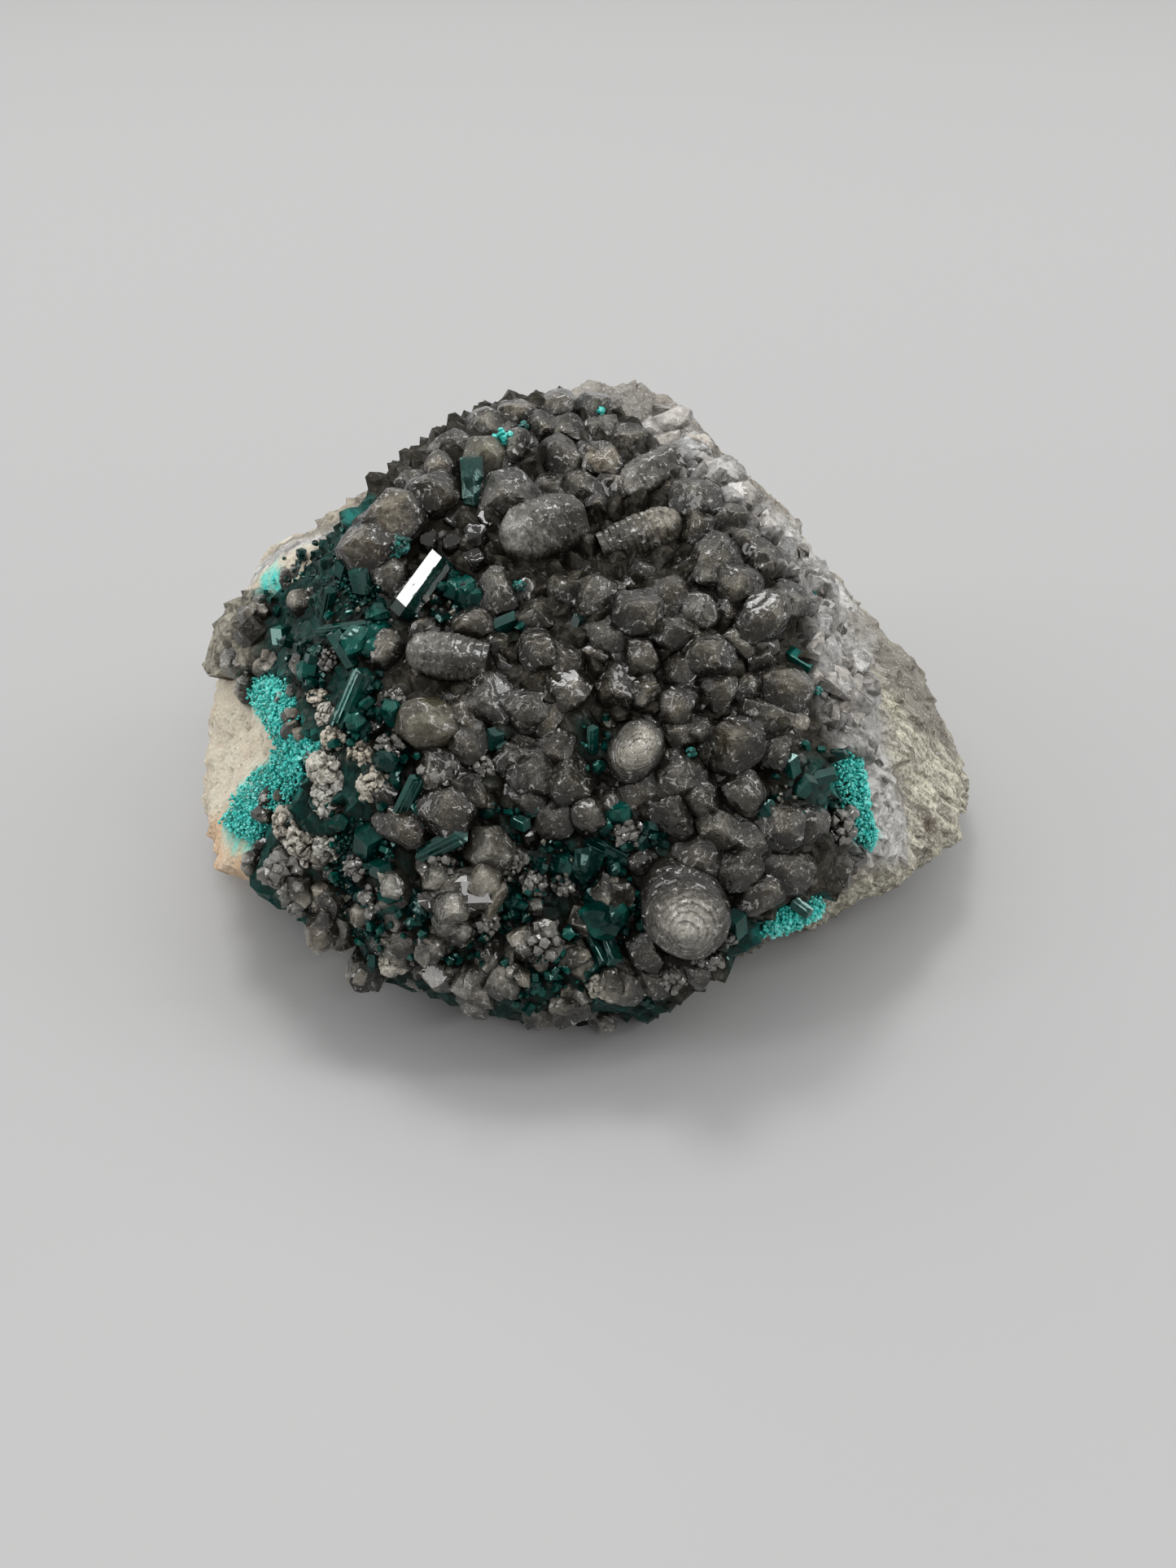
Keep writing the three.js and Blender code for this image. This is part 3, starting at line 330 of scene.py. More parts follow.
def facet_relief(points, size, seed, tilt):
    """Relief of flat facets: every point takes the tilted plane of its nearest scattered centre.

    Returns the height of that plane in sizes, and the distance to the next facet in sizes.
    """
    scaled = points / size
    cells = np.floor(scaled)
    near = np.full(points.shape[:-1], np.inf)
    second = near.copy()
    height = np.zeros(points.shape[:-1])
    for step in itertools.product((-1, 0, 1), repeat=3):
        cell = cells + step
        parts = [cell_number(cell, seed + i) for i in range(7)]
        centre = cell + np.stack(parts[:3], axis=-1)
        reach = scaled - centre
        distance = np.linalg.norm(reach, axis=-1)
        slope = 2 * np.stack(parts[3:6], axis=-1) - 1
        plane = tilt * np.sum(reach * slope, axis=-1) + tilt * (parts[6] - 0.5)
        closer = distance < near
        second = np.where(closer, near, np.minimum(second, distance))
        height = np.where(closer, plane, height)
        near = np.where(closer, distance, near)
    return height, second - near


# The sight plane and the shape of the lump
def sight_line(across, up):
    """Unit way from the eye through each place on the sight plane."""
    across, up = np.asarray(across, float), np.asarray(up, float)
    line = SIGHT_DISTANCE * SIGHT_LOOK + across[..., None] * SIGHT_RIGHT + up[..., None] * SIGHT_UP
    return unit(line)


def by_sight(points):
    """Across and up on the sight plane at which each point is seen."""
    reach = points - EYE
    scale = SIGHT_DISTANCE / (reach @ SIGHT_LOOK)
    return (reach @ SIGHT_RIGHT) * scale, (reach @ SIGHT_UP) * scale


def lump_faces():
    """Normals and distances of the broken faces, and of the side faces that are seen edge on."""
    turn, rise, distance = np.radians(BROKEN_FACES).T
    ways = np.stack((np.cos(rise) * np.cos(turn), np.cos(rise) * np.sin(turn), np.sin(rise)), axis=1)
    corners = sight_line(*np.array(OUTLINE).T)
    sides = unit(np.cross(np.roll(corners, -1, axis=0), corners))
    reach = sides @ EYE_OFFSET
    return (
        np.concatenate((ways, sides * np.sign(reach)[:, None])),
        np.concatenate((np.degrees(distance), np.abs(reach) * OUTLINE_SPREAD)),
    )


FACE_WAYS, FACE_DISTANCES = lump_faces()


def ripple(points, wavelength):
    """Sum of nine plane waves whose directions are spread evenly over a sphere."""
    k = np.arange(RIPPLE_WAVES)
    z = 1 - (2 * k + 1) / RIPPLE_WAVES
    ring = np.sqrt(1 - z * z)
    waves = np.stack((ring * np.cos(k * GOLDEN_ANGLE), ring * np.sin(k * GOLDEN_ANGLE), z), axis=0)
    return np.sin(2 * math.pi * (points @ waves) / wavelength + k * k).sum(axis=-1) / math.sqrt(RIPPLE_WAVES)


def lump_radius(ways):
    """Power mean of the distances to the faces along each way, plus ripples."""
    lean = np.maximum(ways @ (FACE_WAYS / FACE_DISTANCES[:, None]).T, 0)
    radius = (lean**ROUNDING).sum(axis=-1) ** (-1 / ROUNDING)
    points = ways * radius[..., None]
    return radius + sum(height * ripple(points, wavelength) for wavelength, height in RIPPLES)


def outside(points):
    """How far each point is outside the lump, along its radius."""
    reach = points - LUMP_CENTRE
    length = np.linalg.norm(reach, axis=-1)
    return length - lump_radius(reach / length[..., None])


def lump_normal(points, step=1.2):
    """Unit slope of the distance outside the lump, from differences of one step each way."""
    steps = np.eye(3) * step
    return unit(np.stack([outside(points + s) - outside(points - s) for s in steps], axis=-1))


def cast(across, up):
    """Where each sight line meets the lump, or passes closest to it, with its normal, way to the eye and scale."""
    line = sight_line(across, up)
    reach = np.arange(70.0, 200.0, 1.0)
    clear = np.stack([outside(EYE + line * distance) for distance in reach], axis=-1)
    inside = clear <= 0
    first = np.where(inside.any(axis=-1), inside.argmax(axis=-1), clear.argmin(axis=-1))
    least = np.take_along_axis(clear, first[..., None], axis=-1)[..., 0]
    distance = reach[first] + np.minimum(least, 0)
    points = EYE + line * distance[..., None]
    scale = ((points - EYE) @ SIGHT_LOOK) / SIGHT_DISTANCE
    return points, lump_normal(points), -line, scale


def cast_under(across, up, height, axis_of):
    """Cast for crystals whose middle is seen at a place and stands off the lump by a height."""
    points, normals, to_eye, scale = cast(across, up)
    seen_across, seen_up = by_sight(points + axis_of(normals, to_eye) * (height * scale)[:, None])
    return cast(2 * across - seen_across, 2 * up - seen_up)


def calcite_axis(normals, to_eye):
    """Standing calcites lean from the normal towards the eye."""
    return unit((1 - EYE_LEAN) * normals + EYE_LEAN * to_eye)


def inside_distance(edge, across, up):
    """Distance to the edge of a patch, positive inside it and negative outside."""
    corners = np.asarray(edge, float)
    after = np.roll(corners, -1, axis=0)
    places = np.stack((across, up), axis=-1)
    nearest = np.full(places.shape[:-1], np.inf)
    crossings = np.zeros(places.shape[:-1], int)
    for start, end in zip(corners, after):
        side = end - start
        reach = places - start
        share = np.clip((reach @ side) / (side @ side), 0, 1)
        nearest = np.minimum(nearest, np.linalg.norm(reach - share[..., None] * side, axis=-1))
        spans = (start[1] > places[..., 1]) != (end[1] > places[..., 1])
        with np.errstate(divide="ignore", invalid="ignore"):
            meets = start[0] + (places[..., 1] - start[1]) / (end[1] - start[1]) * side[0]
        crossings += spans & (places[..., 0] < meets)
    return np.where(crossings % 2 == 1, nearest, -nearest)


def green_share(across, up, reach=1.2):
    """1 inside the green hollows and 0 outside, with a soft edge."""
    deepest = np.max([inside_distance(edge, across, up) for edge in GREEN_HOLLOWS], axis=0)
    return smooth_step(-reach, reach, deepest)


def clear_of_paste(places, margin):
    """Whether each place is farther than a margin from the turquoise paste, by sight."""
    return np.max([inside_distance(edge, *places.T) for edge in PASTE_EDGES], axis=0) < -margin


# Meshes
def closed_rings(rings, around):
    """Triangles of a closed skin of points: a first point, rings of points, and a last point."""
    side = np.arange(around)
    after = (side + 1) % around
    ring = 1 + around * np.arange(rings - 1)[:, None]
    near, near_after = ring + side, ring + after
    far, far_after = near + around, near_after + around
    last = 1 + rings * around
    start = 1 + around * (rings - 1)
    return np.concatenate((
        np.stack((np.zeros(around, int), 1 + side, 1 + after), axis=1),
        np.stack((near, far, far_after), axis=-1).reshape(-1, 3),
        np.stack((near, far_after, near_after), axis=-1).reshape(-1, 3),
        np.stack((start + side, np.full(around, last), start + after), axis=1),
    ))


def repeated_faces(faces, corner_count, copies):
    """The same faces for each copy of a shape with a number of corners."""
    return (faces[None] + corner_count * np.arange(copies)[:, None, None]).reshape(-1, 3)


def outward(points, faces):
    """The faces, turned so that the skin's volume is positive."""
    a, b, c = (points[faces[:, i]] for i in range(3))
    volume = np.einsum("ij,ij->i", a, np.cross(b, c)).sum()
    return faces if volume > 0 else faces[:, ::-1]


def make_piece(name, points, faces, marks=None, sharp_angle=None):
    """A mesh object from points in mm and triangles, with a named value for each point.

    With a sharp angle the mesh is smooth apart from edges sharper than that; without one it is faceted.
    """
    mesh = bpy.data.meshes.new(name)
    mesh.vertices.add(len(points))
    mesh.vertices.foreach_set("co", (points * MM).astype(np.float32).ravel())
    mesh.loops.add(faces.size)
    mesh.loops.foreach_set("vertex_index", faces.astype(np.int32).ravel())
    mesh.polygons.add(len(faces))
    mesh.polygons.foreach_set("loop_start", np.arange(0, faces.size, 3, dtype=np.int32))
    mesh.polygons.foreach_set("loop_total", np.full(len(faces), 3, dtype=np.int32))
    mesh.update(calc_edges=True)
    mesh.validate()
    if sharp_angle is None:
        mesh.shade_flat()
    else:
        mesh.shade_smooth()
        mesh.set_sharp_from_angle(angle=sharp_angle)
    for mark, values in (marks or {}).items():
        attribute = mesh.attributes.new(mark, "FLOAT", "POINT")
        attribute.data.foreach_set("value", np.asarray(values, np.float32).ravel())
    piece = bpy.data.objects.new(name, mesh)
    bpy.context.scene.collection.objects.link(piece)
    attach(piece, "root")
    return piece


def finish_piece(piece, material, slot, *nodes):
    """Gives a piece its material, and puts it in place of CAD nodes; the slot is not used."""
    piece.data.materials.append(material)
    if nodes:
        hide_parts(*nodes)


def sphere_ways(around, down, reach=math.pi):
    """Unit ways from +Z down to a polar angle, in rings, with the first and last points on the axis."""
    polar = reach * np.arange(1, down + 1) / (down + (1 if reach >= math.pi else 0))
    turn = 2 * math.pi * np.arange(around) / around
    ring = np.stack((
        np.sin(polar)[:, None] * np.cos(turn),
        np.sin(polar)[:, None] * np.sin(turn),
        np.repeat(np.cos(polar)[:, None], around, axis=1),
    ), axis=-1).reshape(-1, 3)
    return np.concatenate(([[0, 0, 1]], ring, [[0, 0, -1]]))


def frames_along(axes, turns):
    """Rows x, y and z of frames whose z is each axis, turned about it."""
    helper = np.where(np.abs(axes[:, 2:]) < 0.9, (0.0, 0.0, 1.0), (1.0, 0.0, 0.0))
    x = unit(np.cross(helper, axes))
    y = np.cross(axes, x)
    cosine, sine = np.cos(turns)[:, None], np.sin(turns)[:, None]
    return np.stack((cosine * x + sine * y, cosine * y - sine * x, axes), axis=1)


def place_shapes(local, centres, frames):
    """Each shape's own points carried into its frame."""
    return centres[:, None] + np.einsum("nvk,nkj->nvj", local, frames)


def way_from(turns, slopes):
    """Unit normals with a turn about the axis and a slope down from it, in radians."""
    return np.stack((np.sin(slopes) * np.cos(turns), np.sin(slopes) * np.sin(turns), np.cos(slopes)), axis=-1)


def face_leans(ways, normals, distances):
    """How steeply each way runs towards each face plane, over the plane's distance."""
    return np.maximum(np.einsum("vk,npk->nvp", ways, normals) / distances[:, None, :], 0.05)


# Face sets of a calcite: turns in degrees, slope from the axis in degrees, distance in half-widths of its top
CALCITE_FORMS = {
    "plain": ((3, 0, 34, 0.92), (3, 60, 58, 0.97), (6, 30, 88, 1.0)),
    "blocky": ((3, 0, 44, 0.9), (3, 60, 66, 1.1), (6, 0, 90, 0.95)),
    "glassy": ((1, 0, 0, 0.72), (3, 0, 52, 0.95), (6, 0, 90, 0.9)),
    "round": ((3, 0, 28, 0.94), (3, 60, 46, 0.97), (6, 30, 70, 0.97), (6, 0, 90, 1.0)),
}


def calcite_faces(form, count, random, stray):
    """Normals and distances of each crystal's faces, strayed a little from the form, with a few extra facets."""
    turns, slopes, distances = [], [], []
    for repeat, first, slope, distance in CALCITE_FORMS[form]:
        turns.append(np.radians(first + 360 * np.arange(repeat) / repeat))
        slopes.append(np.full(repeat, math.radians(slope)))
        distances.append(np.full(repeat, distance))
    turns, slopes, distances = (np.concatenate(part) for part in (turns, slopes, distances))
    shape = (count, len(turns))
    turns = turns + random.normal(0, 0.09 * stray, shape)
    slopes = slopes + random.normal(0, 0.06 * stray, shape)
    distances = distances * (1 + random.normal(0, 0.05 * stray, shape))
    extra = 5
    extra_turns = random.uniform(0, 2 * math.pi, (count, extra))
    extra_slopes = np.arccos(random.uniform(-0.1, 0.95, (count, extra)))
    extra_distances = random.uniform(0.9, 1.12, (count, extra))
    normals = np.concatenate((way_from(turns, slopes), way_from(extra_turns, extra_slopes)), axis=1)
    return normals, np.concatenate((distances, extra_distances), axis=1)


def crystal_domes(form, centres, axes, turns, radii, heights, seed, around, down, power=40.0, stray=1.0, steps=0.03,
                  pitch=0.2, lumps=1.0):
    """Rounded crystals: the power mean of the distances to their face planes on a polar grid, with growth steps.

    Returns their points, faces, and for each point the share of the way up to the tip and its face's number.
    """
    random = np.random.default_rng(seed)
    count = len(centres)
    ways = sphere_ways(around, down, math.radians(118))
    ways[-1] = (0, 0, -1)
    normals, distances = calcite_faces(form, count, random, stray)
    leans = face_leans(ways, normals, distances)
    radius = (leans**power).sum(axis=-1) ** (-1 / power)
    radius[:, -1] = 0.5
    # A random number for each face; the calcite materials make each face lighter or darker by it, as painted light and
    # shade
    numbers = np.random.default_rng(seed + 9).uniform(0, 1, distances.shape)
    face = np.take_along_axis(numbers, leans.argmax(axis=-1), axis=1)
    local = ways[None] * radius[..., None]
    height = local[..., 2]
    phase = random.uniform(0, 1, (count, 1))
    own = local + 40.0 * np.arange(count)[:, None, None]
    slip = 0.9 * value_noise(own, 0.7, seed + 4)
    saw = (height / (pitch * random.uniform(0.8, 1.2, (count, 1))) + phase + slip) % 1
    spread = 1 + steps * (saw - 0.5)
    lumpy = 1 + lumps * (0.03 * value_noise(own, 0.6, seed + 5) + 0.015 * value_noise(own, 0.2, seed + 6))
    local = local * (spread * lumpy)[..., None]
    squash = random.uniform(0.84, 1.16, (count, 1))
    local[..., 0] *= radii[:, None] * squash
    local[..., 1] *= radii[:, None] / squash
    local[..., 2] *= heights[:, None]
    tip = np.clip(height / height.max(axis=1, keepdims=True), 0, 1)
    points = place_shapes(local, centres, frames_along(axes, turns))
    faces = repeated_faces(closed_rings(down, around), len(ways), count)
    return points, faces, tip, face


def stay_above_ground(points, lowest=0.8):
    """Points lower than the least height are raised to it."""
    points = points.copy()
    points[..., 2] = np.maximum(points[..., 2], lowest)
    return points


def scatter_in(edge, count, seed):
    """Places spread at random inside an edge, as many as asked for."""
    random = np.random.default_rng(seed)
    corners = np.asarray(edge, float)
    low, high = corners.min(axis=0), corners.max(axis=0)
    places = np.zeros((0, 2))
    while len(places) < count:
        tries = random.uniform(low, high, (4 * count, 2))
        kept = tries[inside_distance(edge, tries[:, 0], tries[:, 1]) > 0]
        places = np.concatenate((places, kept))
    return places[:count]


def on_the_lump(places, least_facing=0.08):
    """The places whose sight line really meets the lump, on a side that faces the eye."""
    points, normals, to_eye, _ = cast(*places.T)
    facing = np.einsum("ij,ij->i", normals, to_eye)
    return places[(facing > least_facing) & (np.abs(outside(points)) < 0.5)]


def edge_area(edge):
    """Area inside an edge, from the sum of its corners' cross products."""
    corners = np.array(edge, float)
    after = np.roll(corners, -1, axis=0)
    return abs(np.sum(corners[:, 0] * after[:, 1] - corners[:, 1] * after[:, 0])) / 2


def small_prisms(centres, axes, radii, lengths, seed, sides=6):
    """Small pointed prisms: a root, a ring at the root, a ring at the shoulder and a tip for each."""
    random = np.random.default_rng(seed)
    count = len(centres)
    turn = 2 * math.pi * np.arange(sides) / sides
    ring = np.stack((np.cos(turn), np.sin(turn)), axis=-1)
    wobble = random.uniform(0.75, 1.2, (count, sides, 1))
    local = np.zeros((count, 2 + 2 * sides, 3))
    local[:, 0, 2] = 1.0
    local[:, 0, :2] = random.uniform(-0.3, 0.3, (count, 2)) * radii[:, None]
    local[:, 1:1 + sides, :2] = ring * wobble * radii[:, None, None]
    local[:, 1:1 + sides, 2] = random.uniform(0.45, 0.8, (count, 1)) + random.uniform(-0.12, 0.12, (count, sides))
    local[:, 1 + sides:-1, :2] = ring * wobble * 0.9 * radii[:, None, None]
    local[:, 1 + sides:-1, 2] = -0.3
    local[:, -1, 2] = -0.45
    local[..., 2] *= lengths[:, None]
    points = place_shapes(local, centres, frames_along(axes, random.uniform(0, 2 * math.pi, count)))
    faces = repeated_faces(closed_rings(2, sides), 2 + 2 * sides, count)
    return points.reshape(-1, 3), faces


def spread_axes(normals, lean, seed):
    """Axes that stray from the normals by up to about a lean, in radians."""
    random = np.random.default_rng(seed)
    return unit(normals + random.normal(0, 1, normals.shape) * math.tan(lean) / 1.7)


# Materials
def colour(prop):
    """A colour setting with full opacity."""
    return (*prop, 1.0)


def add_node(tree, kind, inputs=None, **settings):
    """A node with its settings, and its inputs linked or filled in."""
    node = tree.nodes.new(kind)
    for name, value in settings.items():
        setattr(node, name, value)
    for name, value in (inputs or {}).items():
        socket = node.inputs[name]
        if isinstance(value, bpy.types.NodeSocket):
            tree.links.new(value, socket)
        else:
            socket.default_value = value
    return node


def own_place(tree):
    """The piece's own coordinates in metres."""
    return add_node(tree, "ShaderNodeTexCoord").outputs["Object"]


def mark_value(tree, name):
    """A value that the mesh carries at its points."""
    return add_node(tree, "ShaderNodeAttribute", attribute_name=name).outputs["Fac"]


def drawn_out(tree, place, way, share):
    """A place with a share of its reach along a way taken out, so that features run that way."""
    along = add_node(tree, "ShaderNodeVectorMath", {0: place, 1: way}, operation="DOT_PRODUCT").outputs["Value"]
    taken = math_value(tree, "MULTIPLY", along, -share)
    shift = add_node(tree, "ShaderNodeVectorMath", {0: way, "Scale": taken}, operation="SCALE").outputs[0]
    return add_node(tree, "ShaderNodeVectorMath", {0: place, 1: shift}, operation="ADD").outputs[0]


def noise_value(tree, place, size, detail=3.0, roughness=0.55, distortion=0.0):
    """Noise from 0 to 1 with features of a size in mm."""
    inputs = {
        "Vector": place, "Scale": 1 / (size * MM), "Detail": detail, "Roughness": roughness,
        "Distortion": distortion,
    }
    return add_node(tree, "ShaderNodeTexNoise", inputs).outputs["Fac"]


def cell_value(tree, place, size, feature="F1", output="Distance"):
    """Distance to scattered centres, a size in mm apart."""
    inputs = {"Vector": place, "Scale": 1 / (size * MM)}
    return add_node(tree, "ShaderNodeTexVoronoi", inputs, feature=feature).outputs[output]


def openness(tree, reach):
    """1 in the open and 0 deep in a crevice, as far as a reach in mm; the materials darken their colour by it, as
    painted shade.
    """
    inputs = {"Distance": reach * MM}
    return add_node(tree, "ShaderNodeAmbientOcclusion", inputs, samples=6).outputs["AO"]


def math_value(tree, operation, first, second=0.0):
    """One arithmetic step."""
    return add_node(tree, "ShaderNodeMath", {0: first, 1: second}, operation=operation).outputs[0]


def range_value(tree, value, low, high, to_low=0.0, to_high=1.0):
    """A value carried from one range to another, with its ends held."""
    inputs = {"Value": value, "From Min": low, "From Max": high, "To Min": to_low, "To Max": to_high}
    return add_node(tree, "ShaderNodeMapRange", inputs).outputs["Result"]


def mixed_colour(tree, share, first, second, blend="MIX"):
    """Two colours mixed by a share."""
    node = add_node(tree, "ShaderNodeMix", data_type="RGBA", blend_type=blend)
    for index, value in ((0, share), (6, first), (7, second)):
        if isinstance(value, bpy.types.NodeSocket):
            tree.links.new(value, node.inputs[index])
        else:
            node.inputs[index].default_value = value
    return node.outputs[2]


def bump(tree, height, distance, strength=1.0, normal=None):
    """A bump of a depth in mm."""
    inputs = {"Height": height, "Distance": distance * MM, "Strength": strength}
    if normal is not None:
        inputs["Normal"] = normal
    return add_node(tree, "ShaderNodeBump", inputs).outputs["Normal"]


def new_group(name, inputs, outputs):
    """An empty node group with float or vector inputs and outputs, and its two end nodes."""
    group = bpy.data.node_groups.new(name, "ShaderNodeTree")
    for side, sockets in (("INPUT", inputs), ("OUTPUT", outputs)):
        for label, kind in sockets.items():
            group.interface.new_socket(label, in_out=side, socket_type=kind)
    start = group.nodes.new("NodeGroupInput")
    end = group.nodes.new("NodeGroupOutput")
    return group, start, end


def use_group(tree, group, inputs=None):
    """A group node in a material."""
    return add_node(tree, "ShaderNodeGroup", inputs, node_tree=group)


def bent_place(tree, place, size, share):
    """A place shifted by noise of a size in mm, by a share of that size."""
    bend = add_node(tree, "ShaderNodeTexNoise", {"Vector": place, "Scale": 1 / (size * MM), "Detail": 3.0})
    shift = add_node(
        tree, "ShaderNodeVectorMath", {0: bend.outputs["Color"], "Scale": share * size * MM}, operation="SCALE"
    ).outputs[0]
    return add_node(tree, "ShaderNodeVectorMath", {0: place, 1: shift}, operation="ADD").outputs[0]


def growth_lines():
    """Group: arcs of growth steps around scattered centres, and thin lines along some of their rims."""
    group, start, end = new_group(
        "Growth lines", {"Place": "NodeSocketVector"}, {"Steps": "NodeSocketFloat", "Lines": "NodeSocketFloat"}
    )
    place = start.outputs["Place"]
    bent = bent_place(group, place, 1.1, 0.9)
    rings = math_value(group, "MULTIPLY", cell_value(group, bent, 2.3), 9.0)
    saw = add_node(group, "ShaderNodeMath", {0: rings}, operation="FRACT").outputs[0]
    coarse = noise_value(group, place, 0.6, 3.0, 0.6)
    steps = math_value(group, "ADD", math_value(group, "MULTIPLY", saw, 0.5), math_value(group, "MULTIPLY", coarse, 0.8))
    group.links.new(steps, end.inputs["Steps"])
    sparse = range_value(group, noise_value(group, place, 0.9, 2.0, 0.6), 0.52, 0.62)
    lines = math_value(group, "MULTIPLY", range_value(group, saw, 0.72, 0.95), sparse)
    group.links.new(lines, end.inputs["Lines"])
    return group


def crystal_facets():
    """Group: a normal that strays by cells, as small flat facets do, and a random number for each cell."""
    group, start, end = new_group(
        "Crystal facets", {"Place": "NodeSocketVector", "Scale": "NodeSocketFloat", "Tilt": "NodeSocketFloat"},
        {"Normal": "NodeSocketVector", "Random": "NodeSocketFloat"},
    )
    cells = add_node(
        group, "ShaderNodeTexVoronoi", {"Vector": start.outputs["Place"], "Scale": start.outputs["Scale"]}
    )
    slope = add_node(
        group, "ShaderNodeVectorMath", {0: cells.outputs["Color"], 1: (0.5, 0.5, 0.5)}, operation="SUBTRACT"
    )
    stray = add_node(
        group, "ShaderNodeVectorMath", {0: slope.outputs[0], "Scale": start.outputs["Tilt"]}, operation="SCALE"
    )
    skin = add_node(group, "ShaderNodeNewGeometry").outputs["Normal"]
    turned = add_node(group, "ShaderNodeVectorMath", {0: skin, 1: stray.outputs[0]}, operation="ADD")
    facing = add_node(group, "ShaderNodeVectorMath", {0: turned.outputs[0]}, operation="NORMALIZE")
    group.links.new(facing.outputs[0], end.inputs["Normal"])
    parts = add_node(group, "ShaderNodeSeparateColor", {"Color": cells.outputs["Color"]})
    group.links.new(parts.outputs["Red"], end.inputs["Random"])
    return group


def stone_grain():
    """Group: coarse and fine grain of broken stone."""
    group, start, end = new_group(
        "Stone grain", {"Place": "NodeSocketVector"}, {"Height": "NodeSocketFloat", "Mottle": "NodeSocketFloat"}
    )
    place = start.outputs["Place"]
    coarse = noise_value(group, place, 1.6, 5.0, 0.62, 0.6)
    fine = cell_value(group, place, 0.55)
    height = math_value(group, "ADD", coarse, math_value(group, "MULTIPLY", fine, 0.35))
    group.links.new(height, end.inputs["Height"])
    group.links.new(noise_value(group, place, 3.4, 6.0, 0.68, 0.8), end.inputs["Mottle"])
    return group


def new_material(name):
    """A material with its principled shader, and that shader's node."""
    material = bpy.data.materials.new(name)
    material.use_nodes = True
    return material, material.node_tree, material.node_tree.nodes["Principled BSDF"]


def link(tree, value, shader, socket):
    """One varying value into a shader's socket."""
    tree.links.new(value, shader.inputs[socket])


def fine_lines(tree, place, size, width, mask):
    """Thin bright lines along the borders of cells of a size in mm, where a mask allows them."""
    border = cell_value(tree, bent_place(tree, place, size, 0.9), size, "DISTANCE_TO_EDGE")
    return math_value(tree, "MULTIPLY", range_value(tree, border, width, 0.3 * width), mask)


def rim_share(tree, blend):
    """1 where a skin is seen edge on and 0 where it faces the eye."""
    return add_node(tree, "ShaderNodeLayerWeight", {"Blend": blend}).outputs["Facing"]


